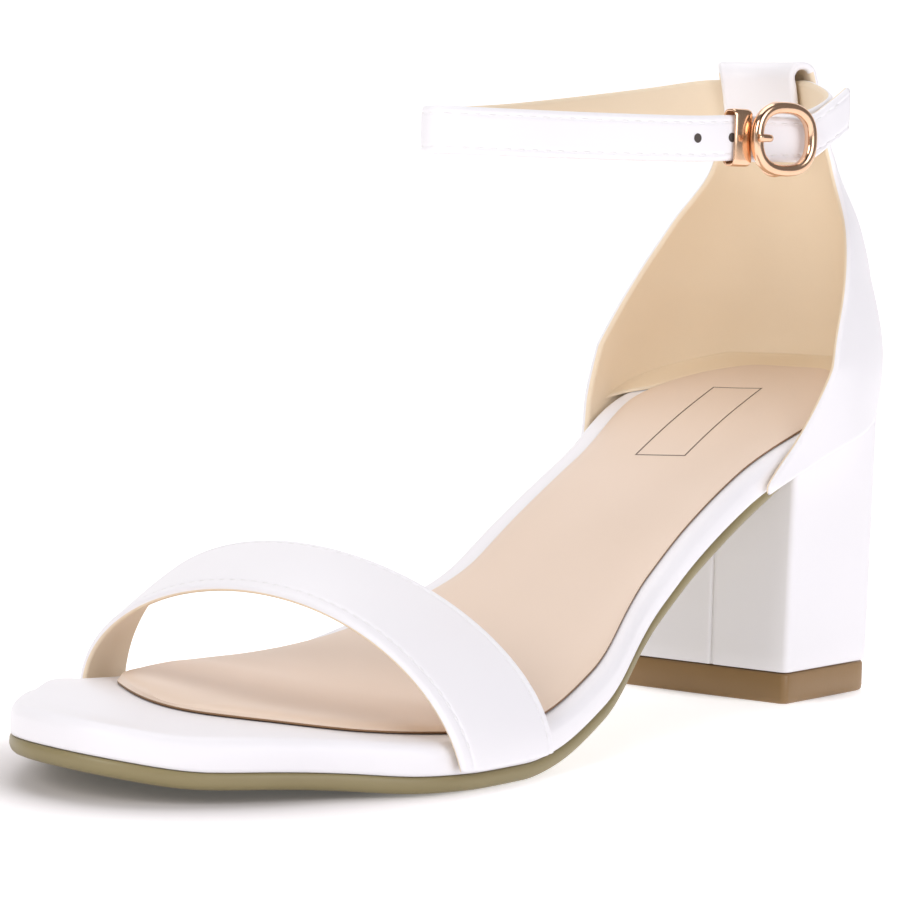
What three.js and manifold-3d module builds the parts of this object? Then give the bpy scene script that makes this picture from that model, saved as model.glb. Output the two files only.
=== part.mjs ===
// Ankle-strap sandal on a covered block heel, left shoe, standing empty on its sole.
// Millimetres. +X points to the outer (lateral) side, +Y to the heel, +Z up, and the floor is z = 0.
import * as THREE from "three";
import { mergeVertices } from "three/addons/utils/BufferGeometryUtils.js";
import Module from "manifold-3d";

// Driving dimensions of the sole unit
const SOLE_LENGTH = 216;
const BALL_HALF_WIDTH = 42;
const HEEL_HEIGHT = 58;
const TOE_SPRING = 4.3;
const MEDIAL_SPRING = 2.1;
const TOE_TIP_OFFSET = 5.2;
const OUTSOLE_THICKNESS = 2.7;
const PLATFORM_THICKNESS = 5.9;
const INSOLE_THICKNESS = 1.6;
const INSOLE_INSET_LATERAL = 3.2;
const INSOLE_INSET_MEDIAL = 5.6;
const INSOLE_INSET_HEEL = 3.2;
const INSOLE_TOE_SHELF = 25.3;
const FOREFOOT_CROWN = 1.8;
const INSOLE_SWELL = 0.6;
const FIT_GAP = 0.3;

// Driving dimensions of the heel
const BLOCK_LENGTH = 33.2;
const BLOCK_FLOOR_WIDTH = 45.6;
const BLOCK_TOP_WIDTH = 47;
const BLOCK_CORNER = 3;
const BLOCK_BACK_SETBACK = 3.3;
const LIFT_THICKNESS = 6.4;
const LIFT_INSET = 0.35;

// Driving dimensions of the upper
const UPPER_HEIGHT = 130.2;
const WALL = 1.6;
const TOE_STRAP_WALL = 2;
const TOE_STRAP_RISE = 27.8;
const TOE_STRAP_BACK_RISE = 33.1;
const TOE_STRAP_FRONT = 50.4;
const TOE_STRAP_BACK = 29.6;
const TOE_STRAP_CLEARANCE = 0.7;
const TUNNEL_LENGTH = 12.5;
const TUNNEL_EASE = 0.75;

// Driving dimensions of the ankle strap and its buckle
const STRAP_WIDTH = 8.8;
const STRAP_WALL = 1.8;
const STRAP_REACH = 117.7;
const BUCKLE_LENGTH = 16.2;
const BUCKLE_HEIGHT = 14.6;
const BUCKLE_WIRE = 1.25;
const BUCKLE_SIDE = 23;
const BUCKLE_AHEAD = 12.3;
const BUCKLE_DROP = 17.8;
const STRAP_STRAIGHT = 20;
const SHORT_END_REACH = 19.8;
const SHORT_END_RISE = 4.8;
const TAIL_REACH = 26;
const TAIL_RISE = 6.2;
const TAIL_TUCK = 3.2;
const BAR_RADIUS = 1;
const PRONG_RADIUS = 0.7;
const KEEPER_WIRE = 1;
const HOLE_RADIUS = 0.9;
const HOLE_PITCH = 8.4;
const HOLE_COUNT = 3;

// The working origin lies a little ahead of the sole's middle
const MIDDLE_Y = 4.5;
const TOE_Y = MIDDLE_Y - SOLE_LENGTH / 2;
const HEEL_Y = TOE_Y + SOLE_LENGTH;
const BLOCK_BACK_Y = HEEL_Y - BLOCK_BACK_SETBACK;
const BREAST_Y = BLOCK_BACK_Y - BLOCK_LENGTH;

// Sole stations: share of the length, then half widths as shares of the ball's, outer and inner side
const SOLE_STATIONS = [
  { at: 0, lateral: 0.845, medial: 0.637 },
  { at: 0.12, lateral: 0.855, medial: 0.919 },
  { at: 0.22, lateral: 0.971, medial: 1.111 },
  { at: 0.32, lateral: 0.926, medial: 1.16 },
  { at: 0.45, lateral: 0.842, medial: 0.804 },
  { at: 0.59, lateral: 0.641, medial: 0.511 },
  { at: 0.744, lateral: 0.596, medial: 0.541 },
  { at: 0.877, lateral: 0.69, medial: 0.675 },
  { at: 1, lateral: 0.7, medial: 0.715 },
];
// Underside profile: share of the length, then height as a share of the heel's
const SOLE_PROFILE = [
  { at: 0.26, rise: 0 },
  { at: 0.323, rise: 0 },
  { at: 0.364, rise: 0.017 },
  { at: 0.446, rise: 0.109 },
  { at: 0.549, rise: 0.28 },
  { at: 0.651, rise: 0.496 },
  { at: 0.754, rise: 0.68 },
  { at: 0.856, rise: 0.836 },
  { at: 1, rise: 1 },
];
// Toe spring: share of the length, then height as a share of the spring
const SPRING_PROFILE = [
  { at: 0, rise: 1 },
  { at: 0.05, rise: 0.615 },
  { at: 0.1, rise: 0.528 },
  { at: 0.15, rise: 0.351 },
  { at: 0.2, rise: 0.114 },
  { at: 0.26, rise: 0 },
];
// The inner side of the toe is sprung further, between these shares of the length
const MEDIAL_SPRING_FROM = 0.3;
const MEDIAL_SPRING_FULL = 0.05;
const END_REACH = 12;
const TOE_CAP_SHARE = 0.36;
const TOE_POWER_LATERAL = 2.24;
const TOE_POWER_MEDIAL = 2.78;
const TOE_BEND_POWER = 1.25;
const HEEL_CAP_SHARE = 0.13;
const HEEL_POWER = 2.2;

// Smooth monotone reading of a table's column at a value of its key column
function read(table, key, column, value) {
  const last = table.length - 1;
  if (value <= table[0][key]) return table[0][column];
  if (value >= table[last][key]) return table[last][column];
  let i = 0;
  while (value > table[i + 1][key]) i += 1;
  const slope = (k) =>
    (table[k + 1][column] - table[k][column]) / (table[k + 1][key] - table[k][key]);
  const tangent = (k) => {
    if (k === 0) return slope(0);
    if (k === last) return slope(last - 1);
    const a = slope(k - 1);
    const b = slope(k);
    return a * b <= 0 ? 0 : (2 * a * b) / (a + b);
  };
  const span = table[i + 1][key] - table[i][key];
  const t = (value - table[i][key]) / span;
  const t2 = t * t;
  const t3 = t2 * t;
  return (
    (2 * t3 - 3 * t2 + 1) * table[i][column] +
    (t3 - 2 * t2 + t) * span * tangent(i) +
    (-2 * t3 + 3 * t2) * table[i + 1][column] +
    (t3 - t2) * span * tangent(i + 1)
  );
}

// Rounding of an outline's end: 0 at the end itself, 1 from the given share inwards
function endCap(share, reach, power) {
  const left = THREE.MathUtils.clamp(1 - share / reach, 0, 1);
  return (1 - left ** power) ** (1 / power);
}

const shareAt = (y) => THREE.MathUtils.clamp((y - TOE_Y) / SOLE_LENGTH, 0, 1);

// The last's centre line in plan bends to the inner side at the toe
const centreX = (share) =>
  -TOE_TIP_OFFSET * THREE.MathUtils.clamp(1 - share / TOE_CAP_SHARE, 0, 1) ** TOE_BEND_POWER;

// The platform's plan outline: its outer and inner edge at a share of the length
function soleEdges(share) {
  const heel = endCap(1 - share, HEEL_CAP_SHARE, HEEL_POWER);
  const lateral = BALL_HALF_WIDTH * read(SOLE_STATIONS, "at", "lateral", share);
  const medial = BALL_HALF_WIDTH * read(SOLE_STATIONS, "at", "medial", share);
  return {
    lateral: centreX(share) + lateral * endCap(share, TOE_CAP_SHARE, TOE_POWER_LATERAL) * heel,
    medial: centreX(share) - medial * endCap(share, TOE_CAP_SHARE, TOE_POWER_MEDIAL) * heel,
  };
}

// Height of the sole's underside above the floor; x counts only ahead of the ball
function underside(y, x = 0) {
  const share = shareAt(y);
  const sprung = share < SOLE_PROFILE[0].at;
  const rise = sprung
    ? TOE_SPRING * read(SPRING_PROFILE, "at", "rise", share)
    : HEEL_HEIGHT * read(SOLE_PROFILE, "at", "rise", share);
  const ahead = THREE.MathUtils.smoothstep(-share, -MEDIAL_SPRING_FROM, -MEDIAL_SPRING_FULL);
  if (ahead === 0) return rise;
  const { lateral, medial } = soleEdges(shareAt(Math.max(y, TOE_Y + END_REACH)));
  const inwards = THREE.MathUtils.clamp((lateral - x) / (lateral - medial), 0, 1);
  return rise + MEDIAL_SPRING * ahead * inwards;
}

// Makes triangles face outwards and returns an indexed geometry of one closed body
function closedGeometry(points, faces) {
  const signed = faces.reduce((sum, [a, b, c]) => {
    const p = points[a];
    const q = points[b];
    const r = points[c];
    return sum + p.dot(new THREE.Vector3().crossVectors(q, r));
  }, 0);
  const index = faces.flatMap(([a, b, c]) => (signed > 0 ? [a, b, c] : [a, c, b]));
  const raw = new THREE.BufferGeometry();
  const flat = points.flatMap((p) => [p.x, p.y, p.z]);
  raw.setAttribute("position", new THREE.Float32BufferAttribute(flat, 3));
  raw.setIndex(index);
  const merged = mergeVertices(raw, 1e-3);
  const kept = [];
  const old = merged.index.array;
  for (let i = 0; i < old.length; i += 3) {
    const [a, b, c] = [old[i], old[i + 1], old[i + 2]];
    if (a !== b && b !== c && a !== c) kept.push(a, b, c);
  }
  merged.setIndex(kept);
  return merged;
}

// Skins rings of equal point counts; the row of rings is capped at its ends or closes on itself
function loft(rings, closed = false) {
  const count = rings[0].length;
  const points = rings.flat();
  const faces = [];
  const spans = closed ? rings.length : rings.length - 1;
  for (let i = 0; i < spans; i += 1) {
    const below = i * count;
    const above = ((i + 1) % rings.length) * count;
    for (let j = 0; j < count; j += 1) {
      const k = (j + 1) % count;
      faces.push([below + j, below + k, above + k], [below + j, above + k, above + j]);
    }
  }
  if (!closed) {
    const cap = (ring, start, flip) => {
      const centre = ring.reduce((c, p) => c.add(p), new THREE.Vector3());
      const at = points.push(centre.divideScalar(count)) - 1;
      for (let j = 0; j < count; j += 1) {
        const k = (j + 1) % count;
        faces.push(flip ? [start + k, start + j, at] : [start + j, start + k, at]);
      }
    };
    cap(rings[0], 0, true);
    cap(rings[rings.length - 1], (rings.length - 1) * count, false);
  }
  return closedGeometry(points, faces);
}

// A wall of even thickness on both sides of a grid of points on its middle surface
function wall(grid, thickness) {
  const rows = grid.length;
  const columns = grid[0].length;
  const side = (sign) =>
    grid.flatMap((row, i) =>
      row.map((p, j) => {
        const along = grid[Math.min(i + 1, rows - 1)][j]
          .clone()
          .sub(grid[Math.max(i - 1, 0)][j]);
        const across = row[Math.min(j + 1, columns - 1)].clone().sub(row[Math.max(j - 1, 0)]);
        const normal = along.cross(across).normalize();
        return p.clone().addScaledVector(normal, (sign * thickness) / 2);
      }),
    );
  const points = [...side(1), ...side(-1)];
  const back = rows * columns;
  const id = (i, j) => i * columns + j;
  const faces = [];
  for (let i = 0; i < rows - 1; i += 1) {
    for (let j = 0; j < columns - 1; j += 1) {
      const [a, b, c, d] = [id(i, j), id(i + 1, j), id(i + 1, j + 1), id(i, j + 1)];
      faces.push([a, b, c], [a, c, d]);
      faces.push([back + a, back + c, back + b], [back + a, back + d, back + c]);
    }
  }
  const rim = [];
  for (let i = 0; i < rows - 1; i += 1) rim.push(id(i, 0));
  for (let j = 0; j < columns - 1; j += 1) rim.push(id(rows - 1, j));
  for (let i = rows - 1; i > 0; i -= 1) rim.push(id(i, columns - 1));
  for (let j = columns - 1; j > 0; j -= 1) rim.push(id(0, j));
  rim.forEach((a, k) => {
    const b = rim[(k + 1) % rim.length];
    faces.push([a, back + b, b], [a, back + a, back + b]);
  });
  return closedGeometry(points, faces);
}

// A round rod along a curve given by its middle points
function rod(middle, radius, closed, sides = 10) {
  const curve = new THREE.CatmullRomCurve3(middle, closed, "centripetal");
  const steps = middle.length * 3;
  const frames = curve.computeFrenetFrames(steps, closed);
  const count = closed ? steps : steps + 1;
  const rings = Array.from({ length: count }, (_, i) => {
    const centre = curve.getPointAt(i / steps);
    return Array.from({ length: sides }, (_, j) => {
      const angle = (j / sides) * 2 * Math.PI;
      return centre
        .clone()
        .addScaledVector(frames.normals[i], radius * Math.cos(angle))
        .addScaledVector(frames.binormals[i], radius * Math.sin(angle));
    });
  });
  return loft(rings, closed);
}

const wasm = await Module();
wasm.setup();

// Joins or cuts two closed geometries
function combine(first, second, operation) {
  const solid = (geometry) => {
    const plain = geometry.clone();
    plain.deleteAttribute("normal");
    plain.deleteAttribute("uv");
    const shared = mergeVertices(plain, 1e-4);
    return new wasm.Manifold(
      new wasm.Mesh({
        numProp: 3,
        vertProperties: new Float32Array(shared.attributes.position.array),
        triVerts: new Uint32Array(shared.index.array),
      }),
    );
  };
  const made = solid(first)[operation](solid(second)).getMesh();
  const result = new THREE.BufferGeometry();
  const flat = [];
  for (let i = 0; i < made.numVert; i += 1) {
    for (let k = 0; k < 3; k += 1) flat.push(made.vertProperties[i * made.numProp + k]);
  }
  result.setAttribute("position", new THREE.Float32BufferAttribute(flat, 3));
  result.setIndex(Array.from(made.triVerts));
  return result;
}

// Plates of the sole unit: an outline in plan, laid on the last's curve and rounded at its rims
const OUTLINE_STEPS = 38;
// How far from their ends the middle line that the plates shrink to stops
const OUTSOLE_SPINE = 16;
const PLATFORM_SPINE = 22;
const INSOLE_SPINE = 20;

// Outline points from toe to heel on the outer side and back on the inner side, each with the
// point of the plate's spine that it shrinks to
function plateOutline(edges, fromY, toY, spineInset) {
  const share = (i) => (1 - Math.cos((Math.PI * i) / OUTLINE_STEPS)) / 2;
  const point = (i, side) => {
    const y = fromY + (toY - fromY) * share(i);
    const { lateral, medial } = edges(y);
    const spineY = THREE.MathUtils.clamp(y, fromY + spineInset, toY - spineInset);
    const inner = edges(spineY);
    return {
      x: side > 0 ? lateral : medial,
      y,
      spineX: (inner.lateral + inner.medial) / 2,
      spineY,
    };
  };
  const outline = [];
  for (let i = 0; i <= OUTLINE_STEPS; i += 1) outline.push(point(i, 1));
  for (let i = OUTLINE_STEPS; i >= 0; i -= 1) outline.push(point(i, -1));
  return outline;
}

// One ring of a plate: the outline moved inwards by a distance or a share, at a height above base
// that may change with the place
function plateRing(outline, base, { inset = 0, share = 0, height }) {
  return outline.map(({ x, y, spineX, spineY }) => {
    const dx = spineX - x;
    const dy = spineY - y;
    const far = Math.hypot(dx, dy) || 1;
    const move = share + Math.min(inset / far, 0.9) * (1 - share);
    const px = x + dx * move;
    const py = y + dy * move;
    const above = typeof height === "number" ? height : height(py, px);
    return new THREE.Vector3(px, py, base(py, px) + above);
  });
}

function plate(outline, base, rings) {
  return loft(rings.map((ring) => plateRing(outline, base, ring)));
}

const platformEdges = (y) => soleEdges(shareAt(y));

// The outsole narrows to the heel block's width where it ends
const OUTSOLE_TAPER = 31;
const OUTSOLE_END_MARGIN = 0.6;

function outsoleEdges(y) {
  const { lateral, medial } = platformEdges(y);
  const near = THREE.MathUtils.smoothstep(y, BREAST_Y - OUTSOLE_TAPER, BREAST_Y);
  const half = BLOCK_TOP_WIDTH / 2 + OUTSOLE_END_MARGIN;
  return {
    lateral: THREE.MathUtils.lerp(lateral, Math.min(lateral, half), near),
    medial: THREE.MathUtils.lerp(medial, Math.max(medial, -half), near),
  };
}

function outsole() {
  const end = BREAST_Y - FIT_GAP;
  const outline = plateOutline(outsoleEdges, TOE_Y, end, OUTSOLE_SPINE);
  return plate(outline, underside, [
    { share: 1, height: 0 },
    { share: 0.45, height: 0 },
    { inset: 1.6, height: 0 },
    { inset: 0.35, height: 0.6 },
    { inset: 0, height: OUTSOLE_THICKNESS * 0.6 },
    { inset: 0.1, height: OUTSOLE_THICKNESS },
    { share: 0.45, height: OUTSOLE_THICKNESS },
    { share: 1, height: OUTSOLE_THICKNESS },
  ]);
}

const platformBase = (y, x) => underside(y, x) + OUTSOLE_THICKNESS + FIT_GAP;
const PLATFORM_ROUND = 2.4;

// The forefoot's top is domed across, from the toe's end to the arch
const CROWN_FULL_SHARES = [0.12, 0.3];
const CROWN_END_SHARE = 0.55;

function forefootCrown(y, x) {
  const { lateral, medial } = platformEdges(
    THREE.MathUtils.clamp(y, TOE_Y + END_REACH, HEEL_Y - END_REACH),
  );
  const across = THREE.MathUtils.clamp((2 * x - lateral - medial) / (lateral - medial), -1, 1);
  const share = shareAt(y);
  const [full, fading] = CROWN_FULL_SHARES;
  const along =
    THREE.MathUtils.smoothstep(share, 0, full) *
    (1 - THREE.MathUtils.smoothstep(share, fading, CROWN_END_SHARE));
  return FOREFOOT_CROWN * along * (1 - across ** 2);
}

function platform() {
  const outline = plateOutline(platformEdges, TOE_Y, HEEL_Y, PLATFORM_SPINE);
  const top = PLATFORM_THICKNESS - FIT_GAP;
  const domed = (y, x) => top + forefootCrown(y, x);
  const shoulder = [0, 0.35, 0.7, 1].map((t) => {
    const angle = (t * Math.PI) / 2;
    return {
      inset: PLATFORM_ROUND * (1 - Math.cos(angle)),
      height: top - PLATFORM_ROUND * (1 - Math.sin(angle)),
    };
  });
  return plate(outline, platformBase, [
    { share: 1, height: 0 },
    { share: 0.45, height: 0 },
    { inset: 0.8, height: 0 },
    { inset: 0, height: 0.8 },
    ...shoulder,
    { share: 0.5, height: domed },
    { share: 1, height: domed },
  ]);
}

function insoleBase(y, x) {
  return platformBase(y, x) + PLATFORM_THICKNESS + FIT_GAP / 2 + forefootCrown(y, x);
}

const INSOLE_TOE_REACH = 0.26;

// The insole's outline is the platform's, moved inwards by its own inset on each side
function insoleEdges(y) {
  const from = TOE_Y + INSOLE_TOE_SHELF;
  const to = HEEL_Y - INSOLE_INSET_HEEL;
  const share = (y - from) / (to - from);
  const cap = endCap(share, INSOLE_TOE_REACH, 2) * endCap(1 - share, HEEL_CAP_SHARE, HEEL_POWER);
  const body = soleEdges(THREE.MathUtils.clamp(shareAt(y), 0, 1 - HEEL_CAP_SHARE));
  const lateral = body.lateral - INSOLE_INSET_LATERAL;
  const medial = body.medial + INSOLE_INSET_MEDIAL;
  const middle = (lateral + medial) / 2;
  return {
    lateral: middle + (lateral - middle) * cap,
    medial: middle + (medial - middle) * cap,
  };
}

function insole() {
  const from = TOE_Y + INSOLE_TOE_SHELF;
  const to = HEEL_Y - INSOLE_INSET_HEEL;
  const outline = plateOutline(insoleEdges, from, to, INSOLE_SPINE);
  const swollen = (y, x) => INSOLE_THICKNESS + INSOLE_SWELL * forefootCrown(y, x);
  return plate(outline, insoleBase, [
    { share: 1, height: 0 },
    { share: 0.45, height: 0 },
    { inset: 0, height: 0 },
    { inset: 0, height: INSOLE_THICKNESS * 0.45 },
    { inset: 0.9, height: INSOLE_THICKNESS * 0.85 },
    { inset: 3, height: INSOLE_THICKNESS },
    { share: 0.5, height: swollen },
    { share: 1, height: swollen },
  ]);
}

// Heel block: a rounded box whose front corners are sharper than its back ones
function blockOutline(width, front, back, corner) {
  const half = width / 2;
  const shape = [];
  const arc = (cx, cy, radius, start) => {
    for (let k = 0; k <= 4; k += 1) {
      const angle = start + (k / 4) * (Math.PI / 2);
      shape.push([cx + radius * Math.cos(angle), cy + radius * Math.sin(angle)]);
    }
  };
  const small = corner * 0.3;
  arc(half - corner, back - corner, corner, 0);
  arc(-half + corner, back - corner, corner, Math.PI / 2);
  arc(-half + small, front + small, small, Math.PI);
  arc(half - small, front + small, small, -Math.PI / 2);
  return shape;
}

function blockRing(width, front, back, corner, height) {
  return blockOutline(width, front, back, corner).map(
    ([x, y]) => new THREE.Vector3(x, y, typeof height === "number" ? height : height(y)),
  );
}

function topLift() {
  const width = BLOCK_FLOOR_WIDTH - 2 * LIFT_INSET;
  const front = BREAST_Y + LIFT_INSET;
  const back = BLOCK_BACK_Y - LIFT_INSET;
  const ring = (shrink, z) =>
    blockRing(width - 2 * shrink, front + shrink, back - shrink, BLOCK_CORNER, z);
  return loft([ring(0.6, 0), ring(0, 0.6), ring(0, LIFT_THICKNESS - FIT_GAP)]);
}

function heelBlock() {
  const seat = (y) => underside(y) + OUTSOLE_THICKNESS;
  const low = (share) => THREE.MathUtils.lerp(BLOCK_FLOOR_WIDTH, BLOCK_TOP_WIDTH, share);
  const rings = [0, 0.35, 0.7].map((share) =>
    blockRing(low(share), BREAST_Y, BLOCK_BACK_Y, BLOCK_CORNER, (y) =>
      THREE.MathUtils.lerp(LIFT_THICKNESS, seat(y), share),
    ),
  );
  rings.push(blockRing(low(1), BREAST_Y, BLOCK_BACK_Y, BLOCK_CORNER, seat));
  return loft(rings);
}

// Toe strap: an arch from the outer to the inner side of the platform, read at a share across its
// width, 0 at its front edge and 1 at its back edge
const TOE_STRAP_EDGES = [
  { across: 0, lateral: -3.05, medial: 0.3, foot: 3.9, lean: -8.6, skew: -0.15 },
  { across: 0.5, lateral: -1.1, medial: -4.4, foot: 4.2, lean: -6.3, skew: 0.065 },
  { across: 1, lateral: 0.8, medial: -9, foot: 4.5, lean: -3.9, skew: 0.28 },
];
const TOE_STRAP_POWER = 1.99;
const TOE_STRAP_CROWN = 0.9;

function toeStrapPoint(turn, across) {
  const cell = (column) => read(TOE_STRAP_EDGES, "across", column, across);
  const cosine = Math.cos(turn);
  const power = 2 / TOE_STRAP_POWER;
  const run = Math.sign(cosine) * Math.abs(cosine) ** power;
  const rise = Math.abs(Math.sin(turn)) ** power;
  const plain = (1 - run) / 2;
  const share = plain + cell("skew") * plain * (1 - plain);
  const y = -THREE.MathUtils.lerp(TOE_STRAP_FRONT, TOE_STRAP_BACK, across);
  const outerY = y + cell("lateral");
  const innerY = y + cell("medial");
  const reach = TOE_STRAP_CLEARANCE + TOE_STRAP_WALL / 2;
  const outerX = platformEdges(outerY).lateral + reach;
  const innerX = platformEdges(innerY).medial - reach;
  const crown = TOE_STRAP_CROWN * 4 * across * (1 - across) * rise;
  const height = THREE.MathUtils.lerp(TOE_STRAP_RISE, TOE_STRAP_BACK_RISE, across) + crown;
  const floor = THREE.MathUtils.lerp(underside(outerY, outerX), underside(innerY, innerX), share);
  return new THREE.Vector3(
    THREE.MathUtils.lerp(outerX, innerX, share),
    THREE.MathUtils.lerp(outerY, innerY, share) + cell("lean") * rise,
    floor + cell("foot") + height * rise - TOE_STRAP_WALL / 2,
  );
}

function toeStrap() {
  const TURNS = 36;
  const ACROSS = 4;
  const grid = Array.from({ length: TURNS + 1 }, (_, i) =>
    Array.from({ length: ACROSS + 1 }, (_, j) =>
      toeStrapPoint((i / TURNS) * Math.PI, j / ACROSS),
    ),
  );
  return wall(grid, TOE_STRAP_WALL);
}

// Counter sections by height above the floor, as shares of the upper's height. Half width and a
// sideways shift are shares of the ball's half width. The back and the two front edges lie behind
// the heel's breast by shares of the heel seat's length. The arc is the round back's half angle
const COUNTER_SECTIONS = [
  { height: 0.347, half: 0.727, back: 1.071, lateral: -0.43, medial: -0.06, aside: 0, arc: 90 },
  { height: 0.377, half: 0.726, back: 1.073, lateral: -0.325, medial: -0.04, aside: 0, arc: 90 },
  { height: 0.406, half: 0.724, back: 1.075, lateral: -0.22, medial: -0.01, aside: 0, arc: 90 },
  { height: 0.446, half: 0.721, back: 1.08, lateral: -0.105, medial: 0.01, aside: 0, arc: 90 },
  { height: 0.505, half: 0.712, back: 1.135, lateral: 0.035, medial: 0.1, aside: 0, arc: 90 },
  { height: 0.565, half: 0.68, back: 1.175, lateral: 0.145, medial: 0.22, aside: 0, arc: 90 },
  { height: 0.644, half: 0.617, back: 1.159, lateral: 0.335, medial: 0.385, aside: 0, arc: 90 },
  { height: 0.733, half: 0.514, back: 1.108, lateral: 0.52, medial: 0.56, aside: 0, arc: 84 },
  { height: 0.827, half: 0.353, back: 0.974, lateral: 0.665, medial: 0.68, aside: 0, arc: 72 },
  { height: 0.912, half: 0.287, back: 0.813, lateral: 0.689, medial: 0.689, aside: -0.02, arc: 52 },
  { height: 1, half: 0.272, back: 0.728, lateral: 0.628, medial: 0.628, aside: -0.04, arc: 44 },
];
const SEAT_LENGTH = BLOCK_LENGTH + BLOCK_BACK_SETBACK;
const COUNTER_ROUND = 0.795;
// Distance of the counter's middle surface from the platform's side at its front edges
const COUNTER_HUG = 1.5;
const COUNTER_STEPS = 28;
const COUNTER_FOOT_SHARE = 0.4;
const FOOT_ROUNDS = 12;

// Points of the counter's middle surface at one height, from the outer to the inner front edge
function counterSection(z) {
  const cell = (column) => read(COUNTER_SECTIONS, "height", column, z / UPPER_HEIGHT);
  const half = BALL_HALF_WIDTH * cell("half");
  const aside = BALL_HALF_WIDTH * cell("aside");
  const back = BREAST_Y + SEAT_LENGTH * cell("back");
  const front = {
    1: BREAST_Y + SEAT_LENGTH * cell("lateral"),
    "-1": BREAST_Y + SEAT_LENGTH * cell("medial"),
  };
  const arc = THREE.MathUtils.degToRad(cell("arc"));
  const path = [];
  const branch = (side) => {
    const depth = Math.min(SEAT_LENGTH * COUNTER_ROUND, back - front[side]);
    const edges = platformEdges(front[side]);
    const platformHalf = side > 0 ? edges.lateral : -edges.medial;
    const hugging = Math.min(half, platformHalf + COUNTER_HUG);
    const points = [new THREE.Vector2(side * hugging + aside, front[side])];
    for (let k = 0; k <= 24; k += 1) {
      const angle = arc * (1 - k / 24);
      points.push(
        new THREE.Vector2(
          (side * half * Math.sin(angle)) / Math.sin(arc) + aside,
          back - (depth * (1 - Math.cos(angle))) / (1 - Math.cos(arc)),
        ),
      );
    }
    return points;
  };
  path.push(...branch(1), ...branch(-1).reverse().slice(1));
  const lengths = [0];
  for (let i = 1; i < path.length; i += 1) {
    lengths.push(lengths[i - 1] + path[i].distanceTo(path[i - 1]));
  }
  const total = lengths[lengths.length - 1];
  return (share) => {
    const target = share * total;
    let i = 1;
    while (i < lengths.length - 1 && lengths[i] < target) i += 1;
    const span = lengths[i] - lengths[i - 1] || 1;
    const t = (target - lengths[i - 1]) / span;
    const flat = path[i - 1].clone().lerp(path[i], t);
    return new THREE.Vector3(flat.x, flat.y, z);
  };
}

// A point of the counter's middle surface and the direction from it to the inside
function counterPoint(share, z) {
  const point = counterSection(z)(share);
  const step = 0.02;
  const before = counterSection(z)(Math.max(share - step, 0));
  const after = counterSection(z)(Math.min(share + step, 1));
  const above = counterSection(z + 1)(share);
  const along = after.sub(before);
  const up = above.sub(counterSection(z - 1)(share)).normalize();
  const inside = new THREE.Vector3().crossVectors(up, along).normalize();
  if (inside.y > 0) inside.negate();
  return { point, inside, up };
}

const TUNNEL_RADIUS = (STRAP_WALL + WALL) / 2 + TUNNEL_EASE;
const TUNNEL_TOP = UPPER_HEIGHT - TUNNEL_RADIUS - WALL / 2;

function counter() {
  const ROWS = 15;
  const FOLDS = 5;
  const seat = (y) => platformBase(y) + FIT_GAP;
  const footHeight = (share) => {
    let z = UPPER_HEIGHT * COUNTER_FOOT_SHARE;
    for (let k = 0; k < FOOT_ROUNDS; k += 1) z = (z + seat(counterSection(z)(share).y)) / 2;
    return z;
  };
  const grid = [];
  const feet = Array.from({ length: COUNTER_STEPS + 1 }, (_, j) => footHeight(j / COUNTER_STEPS));
  for (let i = 0; i <= ROWS; i += 1) {
    grid.push(
      feet.map((low, j) => {
        const z = THREE.MathUtils.lerp(low, TUNNEL_TOP, i / ROWS);
        return counterSection(z)(j / COUNTER_STEPS);
      }),
    );
  }
  const rim = Array.from({ length: COUNTER_STEPS + 1 }, (_, j) =>
    counterPoint(j / COUNTER_STEPS, TUNNEL_TOP),
  );
  for (let k = 1; k <= FOLDS; k += 1) {
    const angle = (k / FOLDS) * Math.PI;
    grid.push(
      rim.map(({ point, inside, up }) =>
        point
          .clone()
          .addScaledVector(inside, TUNNEL_RADIUS * (1 - Math.cos(angle)))
          .addScaledVector(up, TUNNEL_RADIUS * Math.sin(angle)),
      ),
    );
  }
  for (let k = 1; k <= 2; k += 1) {
    grid.push(
      Array.from({ length: COUNTER_STEPS + 1 }, (_, j) => {
        const z = TUNNEL_TOP - (k / 2) * TUNNEL_LENGTH;
        const { point, inside } = counterPoint(j / COUNTER_STEPS, z);
        const top = rim[j];
        const drop = top.point.clone().addScaledVector(top.inside, 2 * TUNNEL_RADIUS);
        const seatPoint = point.addScaledVector(inside, 2 * TUNNEL_RADIUS);
        seatPoint.x = THREE.MathUtils.lerp(seatPoint.x, drop.x, 0.8);
        return seatPoint;
      }),
    );
  }
  return wall(grid, WALL);
}

// Ankle strap: centres of its width along its run, from the end at the buckle's bar through the
// tunnel, round the inner side and the front, to the buckle and the free end
const BUCKLE_CENTRE = new THREE.Vector3(
  BUCKLE_SIDE,
  BREAST_Y - BUCKLE_AHEAD,
  UPPER_HEIGHT - BUCKLE_DROP,
);
const BUCKLE_ALONG = new THREE.Vector3(0.3, 0.954, 0).normalize();
const BUCKLE_OUT = new THREE.Vector3(BUCKLE_ALONG.y, -BUCKLE_ALONG.x, 0);
const UP = new THREE.Vector3(0, 0, 1);
const BAR_DEPTH = STRAP_WALL / 2 + FIT_GAP + BAR_RADIUS;
const SHORT_DEPTH = BAR_DEPTH + BAR_RADIUS + FIT_GAP + STRAP_WALL / 2;

// A point near the buckle: along the strap, outwards from it, and up from its middle
function atBuckle(along, out, up) {
  return BUCKLE_CENTRE.clone()
    .addScaledVector(BUCKLE_ALONG, along)
    .addScaledVector(BUCKLE_OUT, out)
    .addScaledVector(UP, up);
}

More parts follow.
